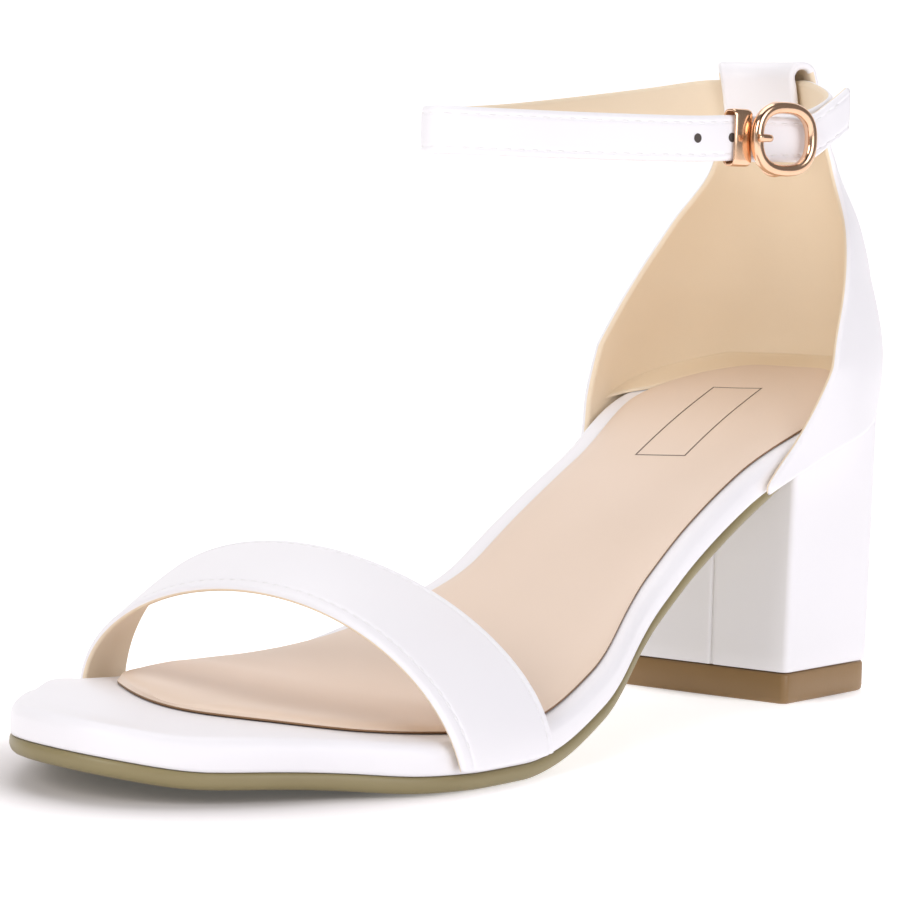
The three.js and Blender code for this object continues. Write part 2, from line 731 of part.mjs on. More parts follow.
// Round the inner side and the front: sideways place, distance behind the strap's foremost point,
// and rise above the strap's lowest run at the front
const STRAP_FRONT_RUN = [
  { side: -18.6, behind: 90, rise: 8.9 },
  { side: -20.6, behind: 66, rise: 5.9 },
  { side: -18.6, behind: 40, rise: 3.3 },
  { side: -13.2, behind: 16, rise: 1.7 },
  { side: -9.4, behind: 4.2, rise: 1.3 },
  { side: -6.2, behind: 0.3, rise: 1.2 },
  { side: -2.6, behind: 1.4, rise: 1.2 },
  { side: 1.4, behind: 9.6, rise: 1.2 },
  { side: 8.6, behind: 30, rise: 1.3 },
];
const STRAP_TUNNEL_DROP = 8.2;
const STRAP_FRONT_DROP = 20.1;

function strapRun() {
  const run = [];
  const add = (centre, lean = UP) => run.push({ centre, lean });
  add(atBuckle(-3.5, -SHORT_DEPTH, 0));
  add(atBuckle(3, -SHORT_DEPTH, 0.1));
  add(atBuckle(12, -SHORT_DEPTH - 0.4, 1.6));
  add(atBuckle(SHORT_END_REACH, -SHORT_DEPTH - 2.3, SHORT_END_RISE));
  const middle = UPPER_HEIGHT - STRAP_TUNNEL_DROP;
  const outerEnd = counterPoint(0, middle);
  add(
    outerEnd.point
      .clone()
      .addScaledVector(outerEnd.inside, TUNNEL_RADIUS)
      .add(new THREE.Vector3(2.6, -1.6, -0.6)),
    outerEnd.up,
  );
  for (const share of [0.06, 0.28, 0.5, 0.72, 0.94]) {
    const { point, inside, up } = counterPoint(share, middle);
    add(point.clone().addScaledVector(inside, TUNNEL_RADIUS), up);
  }
  const innerEnd = counterPoint(1, middle);
  add(
    innerEnd.point
      .clone()
      .addScaledVector(innerEnd.inside, TUNNEL_RADIUS)
      .add(new THREE.Vector3(-2.6, -2, -0.3)),
    innerEnd.up,
  );
  const front = BLOCK_BACK_Y - STRAP_REACH;
  for (const { side, behind, rise } of STRAP_FRONT_RUN) {
    add(new THREE.Vector3(side, front + behind, UPPER_HEIGHT - STRAP_FRONT_DROP + rise));
  }
  add(atBuckle(-STRAP_STRAIGHT, 0.2, -0.6));
  add(atBuckle(-10, 0, -0.1));
  add(atBuckle(0, 0, 0));
  add(atBuckle(9, 0, 0.2));
  add(atBuckle(17, -0.6, 2.9));
  add(atBuckle(TAIL_REACH, -TAIL_TUCK, TAIL_RISE));
  return run;
}

const STRAP_STEPS = 120;
const PRONG_HOLE = -2.9;
const PRONG_HOLE_RADIUS = HOLE_RADIUS + 0.55;

function strapCurves() {
  const run = strapRun();
  const curve = (side) =>
    new THREE.CatmullRomCurve3(
      run.map(({ centre, lean }) =>
        centre.clone().addScaledVector(lean, (side * STRAP_WIDTH) / 2),
      ),
      false,
      "centripetal",
    );
  return [curve(-1), curve(1)];
}

function ankleStrap() {
  const [low, high] = strapCurves();
  const grid = Array.from({ length: STRAP_STEPS + 1 }, (_, i) => {
    const a = low.getPoint(i / STRAP_STEPS);
    const b = high.getPoint(i / STRAP_STEPS);
    return [a, a.clone().lerp(b, 0.5), b];
  });
  let strap = wall(grid, STRAP_WALL);
  for (let k = 0; k < HOLE_COUNT; k += 1) {
    const place = PRONG_HOLE - k * HOLE_PITCH;
    const radius = k === 0 ? PRONG_HOLE_RADIUS : HOLE_RADIUS;
    const depths = [-STRAP_WALL, 0, STRAP_WALL];
    const punch = rod(depths.map((out) => atBuckle(place, out, 0)), radius, false, 8);
    strap = combine(strap, punch, "subtract");
  }
  return strap;
}

const RING_DEPTH = STRAP_WALL / 2 + FIT_GAP + BUCKLE_WIRE;

// Buckle: an oval ring outside the strap, with a bar that passes behind it from rim to rim
function buckleFrame() {
  const halfLength = BUCKLE_LENGTH / 2 - BUCKLE_WIRE;
  const halfHeight = BUCKLE_HEIGHT / 2 - BUCKLE_WIRE;
  const oval = Array.from({ length: 16 }, (_, i) => {
    const angle = (i / 16) * 2 * Math.PI;
    const bend = (value) => Math.sign(value) * Math.abs(value) ** 0.8;
    return atBuckle(
      halfLength * bend(Math.cos(angle)),
      RING_DEPTH,
      halfHeight * bend(Math.sin(angle)),
    );
  });
  const ring = rod(oval, BUCKLE_WIRE, true);
  const bar = rod(
    [
      atBuckle(0, RING_DEPTH, halfHeight),
      atBuckle(0, 0, halfHeight + 0.3),
      atBuckle(0, 0.2 - BAR_DEPTH, halfHeight - 0.7),
      atBuckle(0, -BAR_DEPTH, halfHeight - 2.4),
      atBuckle(0, -BAR_DEPTH, 0),
      atBuckle(0, -BAR_DEPTH, 2.4 - halfHeight),
      atBuckle(0, 0.2 - BAR_DEPTH, 0.7 - halfHeight),
      atBuckle(0, 0, -halfHeight - 0.3),
      atBuckle(0, RING_DEPTH, -halfHeight),
    ],
    BAR_RADIUS,
    false,
  );
  return combine(ring, bar, "add");
}

function buckleProng() {
  const rim = BUCKLE_LENGTH / 2 - BUCKLE_WIRE;
  const over = RING_DEPTH + BUCKLE_WIRE + FIT_GAP + PRONG_RADIUS;
  const root = BAR_RADIUS + PRONG_RADIUS + FIT_GAP;
  return rod(
    [
      atBuckle(-root, -BAR_DEPTH, 0),
      atBuckle(PRONG_HOLE + 0.3, -0.4, 0),
      atBuckle(PRONG_HOLE - 0.7, 1.9, 0),
      atBuckle(-rim + 0.6, over, 0),
      atBuckle(-rim - 1.4, over - 0.1, 0),
    ],
    PRONG_RADIUS,
    false,
    8,
  );
}

// Keeper: a metal loop round the strap just in front of the buckle
function strapKeeper() {
  const place = -BUCKLE_LENGTH / 2 - KEEPER_WIRE - 0.9;
  const depth = STRAP_WALL / 2 + FIT_GAP + KEEPER_WIRE;
  const height = STRAP_WIDTH / 2 + FIT_GAP + KEEPER_WIRE;
  const loop = [];
  const corner = 1.1;
  for (const [out, up] of [[1, 1], [-1, 1], [-1, -1], [1, -1]]) {
    const first = out * up > 0;
    const a = [out * depth, up * (height - corner)];
    const b = [out * (depth - corner * 0.3), up * (height - corner * 0.3)];
    const c = [out * (depth - corner), up * height];
    loop.push(...(first ? [a, b, c] : [c, b, a]));
  }
  return rod(loop.map(([out, up]) => atBuckle(place, out, up)), KEEPER_WIRE, true, 8);
}

const finish = (color, roughness, metalness = 0) =>
  new THREE.MeshStandardMaterial({ color, roughness, metalness });
const whiteLeather = finish(0xf1efee, 0.42);
const insoleLeather = finish(0xe3cdb8, 0.5);
const soleRubber = finish(0x8b7c55, 0.6);
const liftRubber = finish(0x7a6142, 0.6);
const goldMetal = finish(0xc99a6b, 0.22, 1);

const part = new THREE.Group();
const pieces = {
  outsole: [outsole(), soleRubber],
  platform: [platform(), whiteLeather],
  insole: [insole(), insoleLeather],
  heel_block: [heelBlock(), whiteLeather],
  top_lift: [topLift(), liftRubber],
  toe_strap: [toeStrap(), whiteLeather],
  counter: [counter(), whiteLeather],
  ankle_strap: [ankleStrap(), whiteLeather],
  buckle_frame: [buckleFrame(), goldMetal],
  buckle_prong: [buckleProng(), goldMetal],
  strap_keeper: [strapKeeper(), goldMetal],
};
for (const [name, [geometry, material]] of Object.entries(pieces)) {
  const mesh = new THREE.Mesh(geometry, material);
  mesh.name = name;
  part.add(mesh);
}

// The part's origin is the middle of its bounding box, on the floor
const bounds = new THREE.Box3().setFromObject(part);
const middle = bounds.getCenter(new THREE.Vector3());
part.position.set(-middle.x, -middle.y, -bounds.min.z);

export default part;
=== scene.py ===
import math

import bmesh
import bpy
import numpy as np
from mathutils import Matrix, Vector


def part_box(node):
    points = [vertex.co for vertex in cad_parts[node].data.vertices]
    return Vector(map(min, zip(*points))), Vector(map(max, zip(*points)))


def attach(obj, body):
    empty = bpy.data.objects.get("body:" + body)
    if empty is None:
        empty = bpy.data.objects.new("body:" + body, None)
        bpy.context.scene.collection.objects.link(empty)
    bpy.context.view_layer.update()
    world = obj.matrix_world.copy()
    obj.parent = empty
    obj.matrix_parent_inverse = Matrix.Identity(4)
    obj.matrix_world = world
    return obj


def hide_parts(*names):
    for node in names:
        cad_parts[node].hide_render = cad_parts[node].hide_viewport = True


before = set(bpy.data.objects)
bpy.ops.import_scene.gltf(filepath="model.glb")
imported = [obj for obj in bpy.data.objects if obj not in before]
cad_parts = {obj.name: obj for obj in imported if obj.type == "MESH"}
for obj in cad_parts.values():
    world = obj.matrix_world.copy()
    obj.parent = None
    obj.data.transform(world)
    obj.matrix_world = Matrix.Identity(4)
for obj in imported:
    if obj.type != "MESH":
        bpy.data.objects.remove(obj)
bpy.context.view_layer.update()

# The view. A camera with a long lens stands low in front of the toe, on the sandal's outer side,
# and is rolled a little. Its place comes from the sole's edge, the heel's corners and the strap.
MM = 0.001
TOE_Y = -103.5
platform_low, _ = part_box("platform")
lift_low, lift_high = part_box("top_lift")
# Where the last's own origin, under the heel's middle line, lies in the part, in millimetres
LAST_ORIGIN = np.array(
    [(lift_low[0] + lift_high[0]) / 2 / MM, platform_low[1] / MM - TOE_Y, 0.0]
)
VIEW_TURN, VIEW_RISE, VIEW_ROLL = (math.radians(angle) for angle in (37.19, 3.99, 1.57))
VIEW_DISTANCE = 599.3
VIEW_AIM = np.array([-5.54, 0.0, 52.43])

view_back = Vector(
    (
        math.sin(VIEW_TURN) * math.cos(VIEW_RISE),
        -math.cos(VIEW_TURN) * math.cos(VIEW_RISE),
        math.sin(VIEW_RISE),
    )
)
view_level = Vector((math.cos(VIEW_TURN), math.sin(VIEW_TURN), 0))
view_plumb = view_back.cross(view_level)
view_right = view_level * math.cos(VIEW_ROLL) + view_plumb * math.sin(VIEW_ROLL)
view_up = view_plumb * math.cos(VIEW_ROLL) - view_level * math.sin(VIEW_ROLL)
camera = bpy.data.objects.new("camera", bpy.data.cameras.new("camera"))
bpy.context.scene.collection.objects.link(camera)
bpy.context.scene.camera = camera
camera.data.sensor_width = 36
camera.data.lens = 129.17
camera.data.clip_start = 0.01
camera.data.clip_end = 20
turned = Matrix((view_right, view_up, view_back)).transposed().to_4x4()
place = Vector((VIEW_AIM + LAST_ORIGIN) * MM) + view_back * VIEW_DISTANCE * MM
camera.matrix_world = Matrix.Translation(place) @ turned

# The studio. A pale floor runs up into a backdrop behind the sandal, and big soft lamps stand
# in front, at the outer side and overhead, as for a catalogue picture on white.
scene = bpy.context.scene
scene.view_settings.view_transform = "Standard"
scene.view_settings.exposure = 0
world = bpy.data.worlds.new("studio")
scene.world = world
world.use_nodes = True
WORLD_TINT = (1.0, 0.95, 0.96, 1)
WORLD_STRENGTH = 0.22
background = world.node_tree.nodes["Background"]
background.inputs["Color"].default_value = WORLD_TINT
background.inputs["Strength"].default_value = WORLD_STRENGTH


def soft_lamp(name, place, aim, size, power, colour):
    """A square soft lamp at a place, turned to a point, both in metres."""
    data = bpy.data.lights.new(name, "AREA")
    data.size = size
    data.energy = power
    data.color = colour
    lamp = bpy.data.objects.new(name, data)
    scene.collection.objects.link(lamp)
    lamp.location = place
    lamp.rotation_mode = "QUATERNION"
    lamp.rotation_quaternion = (Vector(aim) - Vector(place)).to_track_quat("-Z", "Y")


soft_lamp("lamp_over", (-0.25, 0.1, 1.1), (0, 0, 0.04), 0.9, 5.4, (1.0, 0.985, 0.99))
soft_lamp("lamp_front", (0.0, -1.1, 0.62), (0, -0.02, 0.05), 0.6, 6.0, (1.0, 0.985, 0.98))
soft_lamp("lamp_side", (1.0, -0.15, 0.45), (0, 0.03, 0.05), 0.7, 4.5, (0.96, 0.955, 1.0))

# Two dark cards out of the picture give the polished buckle its dark lines
card_paint = bpy.data.materials.new("dark_card")
card_paint.use_nodes = True
card_shader = card_paint.node_tree.nodes["Principled BSDF"]
card_shader.inputs["Base Color"].default_value = (0.02, 0.018, 0.018, 1)
card_shader.inputs["Roughness"].default_value = 0.9
for label, corners in (
    ("card_left", ((-0.62, -0.5, 0.1), (-0.5, -0.7, 0.1), (-0.5, -0.7, 0.45), (-0.62, -0.5, 0.45))),
    ("card_top", ((0.1, -0.5, 0.62), (0.5, -0.35, 0.62), (0.4, -0.1, 0.7), (0.05, -0.2, 0.7))),
):
    card_mesh = bpy.data.meshes.new(label)
    card_mesh.from_pydata(corners, [], [(0, 1, 2, 3)])
    card_mesh.materials.append(card_paint)
    card = bpy.data.objects.new(label, card_mesh)
    scene.collection.objects.link(card)
    card.visible_camera = False

sweep = [(-2.2, 0.0), (-1.2, 0.0)]
sweep += [(0.9 + 0.9 * math.sin(a), 0.9 - 0.9 * math.cos(a)) for a in np.linspace(0, 1.5, 14)]
sweep += [(1.83, 2.4)]
floor_mesh = bpy.data.meshes.new("floor")
floor_points = [(side, depth, rise) for side in (-3.0, 3.0) for depth, rise in sweep]
count = len(sweep)
floor_faces = [(i, i + 1, count + i + 1, count + i) for i in range(count - 1)]
floor_mesh.from_pydata(floor_points, [], floor_faces)
for face in floor_mesh.polygons:
    face.use_smooth = True
floor = bpy.data.objects.new("floor", floor_mesh)
scene.collection.objects.link(floor)
floor.rotation_euler = (0, 0, VIEW_TURN)
floor_paint = bpy.data.materials.new("studio_floor")
floor_paint.use_nodes = True
floor_tree = floor_paint.node_tree
floor_shader = floor_tree.nodes["Principled BSDF"]
floor_shader.inputs["Base Color"].default_value = (0.74, 0.71, 0.72, 1)
floor_shader.inputs["Roughness"].default_value = 0.6
floor_shader.inputs["Specular IOR Level"].default_value = 0.2
floor_shader.inputs["Emission Strength"].default_value = 1.0


def add_node(tree, kind, settings=None, **links):
    """Adds a node, sets its fields and values, and joins its inputs to the sockets given."""
    node = tree.nodes.new(kind)
    for key, value in (settings or {}).items():
        if isinstance(key, str) and hasattr(node, key):
            setattr(node, key, value)
        else:
            node.inputs[key].default_value = value
    for label, source in links.items():
        key = int(label[1:]) if label[0] == "_" else label
        tree.links.new(source, node.inputs[key])
    return node


# The floor shines softly by itself, so that it turns white round the sandal, but for two patches
# where the contact shadows of the forefoot and of the heel stay dark
SHADOW_PATCHES = ((-0.002, -0.074, 0.05, 0.052), (0.005, 0.086, 0.024, 0.019))
GLOW_RANGE = (0.6, 1.3)
GLOW_LEVELS = (0.07, 0.66)
floor_place = add_node(floor_tree, "ShaderNodeNewGeometry")
patch_glows = []
for at_x, at_y, reach_x, reach_y in SHADOW_PATCHES:
    patch = add_node(
        floor_tree, "ShaderNodeMapping",
        {"vector_type": "TEXTURE", "Location": (at_x, at_y, 0), "Scale": (reach_x, reach_y, 1)},
        Vector=floor_place.outputs["Position"],
    )
    reach = add_node(floor_tree, "ShaderNodeVectorMath", {"operation": "LENGTH"}, _0=patch.outputs[0])
    patch_glows.append(reach.outputs["Value"])
nearest_patch = add_node(
    floor_tree, "ShaderNodeMath", {"operation": "MINIMUM"}, _0=patch_glows[0], _1=patch_glows[1]
)
floor_glow = add_node(
    floor_tree, "ShaderNodeMapRange",
    {"interpolation_type": "SMOOTHSTEP", **dict(enumerate(GLOW_RANGE + GLOW_LEVELS, 1))},
    _0=nearest_patch.outputs[0],
)
floor_tree.links.new(floor_glow.outputs[0], floor_shader.inputs["Emission Color"])
floor_mesh.materials.append(floor_paint)

# The outsole: a thin moulded rubber sole in olive tan, from the toe to the heel's front face.
# Its rim is rounded, and its underside has shallow cross grooves.
HEEL_Y = 112.5
SOLE_LENGTH = HEEL_Y - TOE_Y
BREAST_Y = 76.0
BALL_HALF_WIDTH = 42.0
HEEL_HEIGHT = 58.0
TOE_SPRING = 4.3
INNER_SPRING = 2.1
TOE_TIP_OFFSET = 5.2
TOE_CAP_SHARE = 0.36
HEEL_CAP_SHARE = 0.13
OUTSOLE_THICKNESS = 2.7
BLOCK_TOP_HALF = 23.5
FIT_GAP = 0.3
WELD = 2e-6
END_REACH = 12
OUTSOLE_TAPER = 31
OUTSOLE_MARGIN = 0.6
# Share of the sole's length, then half width as a share of the ball's
SOLE_OUTER = [
    (0, 0.845), (0.12, 0.855), (0.22, 0.971), (0.32, 0.926), (0.45, 0.842),
    (0.59, 0.641), (0.744, 0.596), (0.877, 0.69), (1, 0.7),
]
SOLE_INNER = [
    (0, 0.637), (0.12, 0.919), (0.22, 1.111), (0.32, 1.16), (0.45, 0.804),
    (0.59, 0.511), (0.744, 0.541), (0.877, 0.675), (1, 0.715),
]
# Share of the sole's length, then the underside's height as a share of the heel's
SOLE_RISE = [
    (0.26, 0), (0.323, 0), (0.364, 0.017), (0.446, 0.109), (0.549, 0.28),
    (0.651, 0.496), (0.754, 0.68), (0.856, 0.836), (1, 1),
]
# The same ahead of the ball, as a share of the toe spring
SPRING_RISE = [(0, 1), (0.05, 0.615), (0.1, 0.528), (0.15, 0.351), (0.2, 0.114), (0.26, 0)]


def ease(share):
    """Smooth step from 0 to 1."""
    return share**2 * (3 - 2 * share)


def reading(table, value):
    """Smooth monotone reading of a table of (place, value) pairs."""
    keys, heights = np.array(table, float).T
    slopes = np.diff(heights) / np.diff(keys)
    product = slopes[:-1] * slopes[1:]
    total = np.where(np.abs(slopes[:-1] + slopes[1:]) < 1e-12, 1, slopes[:-1] + slopes[1:])
    middle = np.where(product > 0, 2 * product / total, 0)
    tangents = np.concatenate([slopes[:1], middle, slopes[-1:]])
    value = np.clip(value, keys[0], keys[-1])
    i = np.clip(np.searchsorted(keys, value) - 1, 0, len(keys) - 2)
    span = keys[i + 1] - keys[i]
    t = (value - keys[i]) / span
    return (
        (2 * t**3 - 3 * t**2 + 1) * heights[i]
        + (t**3 - 2 * t**2 + t) * span * tangents[i]
        + (3 * t**2 - 2 * t**3) * heights[i + 1]
        + (t**3 - t**2) * span * tangents[i + 1]
    )


def end_cap(share, reach, power):
    """Rounding of an outline's end: 0 at the end itself, 1 from the given share inwards."""
    left = np.clip(1 - share / reach, 0, 1)
    return (1 - left**power) ** (1 / power)


def sole_share(y):
    return np.clip((np.asarray(y, float) - TOE_Y) / SOLE_LENGTH, 0, 1)


def sole_edges(y):
    """Outer and inner edge of the sole's plan at a place along it."""
    share = sole_share(y)
    bend = -TOE_TIP_OFFSET * np.clip(1 - share / TOE_CAP_SHARE, 0, 1) ** 1.25
    heel = end_cap(1 - share, HEEL_CAP_SHARE, 2.2)
    outer = BALL_HALF_WIDTH * reading(SOLE_OUTER, share)
    inner = BALL_HALF_WIDTH * reading(SOLE_INNER, share)
    return (
        bend + outer * end_cap(share, TOE_CAP_SHARE, 2.24) * heel,
        bend - inner * end_cap(share, TOE_CAP_SHARE, 2.78) * heel,
    )


def underside(y, x=0.0):
    """Height of the sole's underside above the floor; the toe is sprung more on its inner side."""
    share = sole_share(y)
    rise = np.where(
        share < SOLE_RISE[0][0],
        TOE_SPRING * reading(SPRING_RISE, share),
        HEEL_HEIGHT * reading(SOLE_RISE, share),
    )
    ahead = np.clip((0.3 - share) / 0.25, 0, 1)
    outer, inner = sole_edges(np.clip(y, TOE_Y + END_REACH, HEEL_Y - END_REACH))
    inwards = np.clip((outer - x) / (outer - inner), 0, 1)
    return rise + INNER_SPRING * ease(ahead) * inwards


def outsole_edges(y):
    """The sole's plan, narrowed to the heel's own width where the outsole ends against it."""
    outer, inner = sole_edges(y)
    near = ease(np.clip((np.asarray(y, float) - BREAST_Y) / OUTSOLE_TAPER + 1, 0, 1))
    half = BLOCK_TOP_HALF + OUTSOLE_MARGIN
    return (
        outer + (np.minimum(outer, half) - outer) * near,
        inner + (np.maximum(inner, -half) - inner) * near,
    )


def make_piece(name, points, faces, paints, face_paints=None):
    """A smooth-shaded piece from points in the last's millimetres; it rides on the part."""
    mesh = bpy.data.meshes.new(name)
    mesh.from_pydata(((np.asarray(points, float) + LAST_ORIGIN) * MM).tolist(), [], faces)
    for paint in paints:
        mesh.materials.append(paint)
    mesh.polygons.foreach_set("use_smooth", [True] * len(mesh.polygons))
    if face_paints is not None:
        mesh.polygons.foreach_set("material_index", list(face_paints))
    mesh.validate()
    form = bmesh.new()
    form.from_mesh(mesh)
    bmesh.ops.remove_doubles(form, verts=form.verts, dist=WELD)
    bmesh.ops.dissolve_degenerate(form, edges=form.edges, dist=WELD / 2)
    bmesh.ops.recalc_face_normals(form, faces=form.faces)
    form.to_mesh(mesh)
    form.free()
    piece = bpy.data.objects.new(name, mesh)
    scene.collection.objects.link(piece)
    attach(piece, "root")
    return piece


def tube_faces(count, size, closed=False):
    """Faces between rings of points, each ring closed on itself; closed joins last to first."""
    faces = []
    for i in range(count if closed else count - 1):
        m = (i + 1) % count
        for j in range(size):
            n = (j + 1) % size
            faces.append((i * size + j, i * size + n, m * size + n, m * size + j))
    return faces


def plate(name, edges, start, end, base, profile, spine_inset, paints, **options):
    """A plate of the sole unit: its plan laid on the last's curve, with a rounded rim.

    profile runs from the underside's edge round the rim to the top's edge, as rows of distance
    in from the plan's edge and height above the base; relief is added inside those edges.
    """
    steps = options.get("steps", 120)
    across = options.get("across", 28)
    flat = lambda x, y, inset: 0 * x
    top_relief = options.get("top_relief", flat)
    low_relief = options.get("low_relief", flat)
    share = (1 - np.cos(np.linspace(0, np.pi, steps + 1))) / 2
    y = start + (end - start) * share
    sides = [np.stack([x, y], 1) for x in edges(y)]
    spine_y = np.clip(y, start + spine_inset, end - spine_inset)
    spine = np.stack([np.mean(edges(spine_y), axis=0), spine_y], 1)

    def ring(inset, height):
        rows = []
        for side in sides:
            inward = spine - side
            far = np.maximum(np.linalg.norm(inward, axis=1), 1e-6)
            moved = side + inward * np.minimum(inset / far, 0.9)[:, None]
            rows.append(np.column_stack([moved, base(moved[:, 1], moved[:, 0]) + height]))
        return np.concatenate([rows[0], rows[1][::-1]])

    rings = [ring(inset, height) for inset, height in profile]
    size = 2 * (steps + 1)
    points = list(np.concatenate(rings))
    faces = tube_faces(len(rings), size)
    rim_rows = [k for k in range(len(rings) - 1) for _ in range(size)]

    def surface(k, relief, flip):
        edge = rings[k]
        outer, inner = edge[: steps + 1], edge[steps + 1 :][::-1]
        ids = np.zeros((steps + 1, across + 1), int)
        ids[:, 0] = k * size + np.arange(steps + 1)
        ids[:, across] = k * size + size - 1 - np.arange(steps + 1)
        height = profile[k][1]
        for j in range(1, across):
            row = outer + (inner - outer) * (j / across)
            x, depth = row[:, 0], row[:, 1]
            inset = np.minimum(j, across - j) / across * np.linalg.norm(inner - outer, axis=1)
            inset = np.minimum(inset, np.minimum(depth - start, end - depth))
            ids[:, j] = len(points) + np.arange(steps + 1)
            z = base(depth, x) + height + relief(x, depth, np.maximum(inset, 0))
            points.extend(np.column_stack([x, depth, z]))
        for i in range(steps):
            for j in range(across):
                quad = (ids[i, j], ids[i, j + 1], ids[i + 1, j + 1], ids[i + 1, j])
                faces.append(quad[::-1] if flip else quad)
                rim_rows.append(-1 if flip else len(rings))

    surface(0, low_relief, True)
    surface(len(rings) - 1, top_relief, False)
    pick = options.get("paint_of", lambda row: 0)
    return make_piece(
        name, points, faces, paints, [pick(row) for row in rim_rows]
    )


def effect(name, inputs, outputs):
    """A shader node group with named inputs, as (name, value), and outputs, as (name, kind)."""
    group = bpy.data.node_groups.new(name, "ShaderNodeTree")
    for label, value in inputs:
        socket = group.interface.new_socket(label, in_out="INPUT", socket_type="NodeSocketFloat")
        socket.default_value = value
    for label, kind in outputs:
        group.interface.new_socket(label, in_out="OUTPUT", socket_type=kind)
    return group, group.nodes.new("NodeGroupInput"), group.nodes.new("NodeGroupOutput")


# Fine surface texture for rubber and leather: a cell pattern over a soft cloud, and a slow tone
grain, grain_in, grain_out = effect(
    "fine_grain",
    [("Scale", 1800.0), ("Cloud Scale", 60.0), ("Cells", 0.6)],
    [("Height", "NodeSocketFloat"), ("Tone", "NodeSocketFloat")],
)
place_node = add_node(grain, "ShaderNodeTexCoord")
cells = add_node(
    grain, "ShaderNodeTexVoronoi", {"feature": "SMOOTH_F1"}, Vector=place_node.outputs["Object"],
    Scale=grain_in.outputs["Scale"],
)
pits = add_node(
    grain, "ShaderNodeTexNoise", {"Detail": 3.0}, Vector=place_node.outputs["Object"],
    Scale=grain_in.outputs["Scale"],
)
cloud = add_node(
    grain, "ShaderNodeTexNoise", {"Detail": 2.0}, Vector=place_node.outputs["Object"],
    Scale=grain_in.outputs["Cloud Scale"],
)
blended = add_node(
    grain, "ShaderNodeMix", {}, _0=grain_in.outputs["Cells"], _2=pits.outputs["Fac"],
    _3=cells.outputs["Distance"],
)
grain.links.new(blended.outputs[0], grain_out.inputs["Height"])
grain.links.new(cloud.outputs["Fac"], grain_out.inputs["Tone"])


def finish_of(name, light, dark, rough, scale, depth, cloud_scale=60.0, cells_share=0.6):
    """A material with fine grain: colours and roughness between two values, and a soft bump."""
    paint = bpy.data.materials.new(name)
    paint.use_nodes = True
    tree = paint.node_tree
    shader = tree.nodes["Principled BSDF"]
    skin = add_node(tree, "ShaderNodeGroup", {"node_tree": grain})
    skin.inputs["Scale"].default_value = scale
    skin.inputs["Cloud Scale"].default_value = cloud_scale
    skin.inputs["Cells"].default_value = cells_share
    tone = add_node(tree, "ShaderNodeMix", {"data_type": "RGBA"}, _0=skin.outputs["Tone"])
    tone.inputs[6].default_value = (*light, 1)
    tone.inputs[7].default_value = (*dark, 1)
    tree.links.new(tone.outputs[2], shader.inputs["Base Color"])
    gloss = add_node(
        tree, "ShaderNodeMapRange", {3: rough[0], 4: rough[1]}, _0=skin.outputs["Tone"]
    )
    tree.links.new(gloss.outputs[0], shader.inputs["Roughness"])
    bump = add_node(
        tree, "ShaderNodeBump", {"Strength": 1.0, "Distance": depth},
        Height=skin.outputs["Height"],
    )
    tree.links.new(bump.outputs["Normal"], shader.inputs["Normal"])
    return paint, shader, tone, bump


sole_rubber, _, _, _ = finish_of(
    "olive_rubber", (0.3, 0.25, 0.125), (0.24, 0.195, 0.09), (0.38, 0.5), 1500, 0.00002
)


TREAD_PITCH = 6.4
TREAD_DEPTH = 0.45


def tread(x, y, inset):
    """Shallow cross grooves under the ball and the toe, fading out towards the rim."""
    wave = np.cos(2 * np.pi * (y + 2.2 * np.cos(x / 9)) / TREAD_PITCH)
    groove = np.clip((wave - 0.55) / 0.3, 0, 1)
    zone = np.clip((inset - 7) / 1.5, 0, 1) * np.clip((-14 - y) / 3, 0, 1)
    return TREAD_DEPTH * groove * zone


rim = [(3.2, 0), (1.5, 0), (0.8, 0.16), (0.3, 0.5), (0.05, 0.95), (-0.1, 1.4)]
rim += [(-0.1, 1.9), (-0.04, 2.45), (0.14, 2.78), (0.5, 2.92), (1.4, 2.95)]
outsole = plate(
    "outsole_rubber", outsole_edges, TOE_Y, BREAST_Y - FIT_GAP, underside, rim, 16, [sole_rubber],
    steps=220, across=36, low_relief=tread, slot="sole_rubber",
)
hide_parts("outsole")

# The platform: an insole board and midsole wrapped all round in smooth white leather, which is
# folded under and cemented to the outsole. Its top shows as a shelf round the sock.
PLATFORM_THICKNESS = 5.9
PLATFORM_ROUND = 2.4
FOREFOOT_CROWN = 0.7
INNER_SWELL = 1.9
platform_top = PLATFORM_THICKNESS - FIT_GAP

white_leather, white_shader, _, _ = finish_of(
    "white_leather", (0.885, 0.875, 0.9), (0.855, 0.845, 0.875), (0.34, 0.46), 1500, 0.000012, 30
)
white_shader.inputs["Specular IOR Level"].default_value = 0.45


def platform_base(y, x=0.0):
    return underside(y, x) + OUTSOLE_THICKNESS + FIT_GAP


def forefoot_crown(y, x):
    """The forefoot's top is domed a little across, and swells towards the inner side."""
    outer, inner = sole_edges(np.clip(y, TOE_Y + END_REACH, HEEL_Y - END_REACH))
    across = np.clip((2 * x - outer - inner) / (outer - inner), -1, 1)
    share = sole_share(y)
    near, far = np.clip(share / 0.12, 0, 1), np.clip((share - 0.3) / 0.2, 0, 1)
    along = ease(near) * (1 - ease(far))
    inwards = np.clip((0.3 - across) / 1.1, 0, 1)
    swell = INNER_SWELL * ease(inwards)
    return along * (FOREFOOT_CROWN * (1 - across**2) + swell)


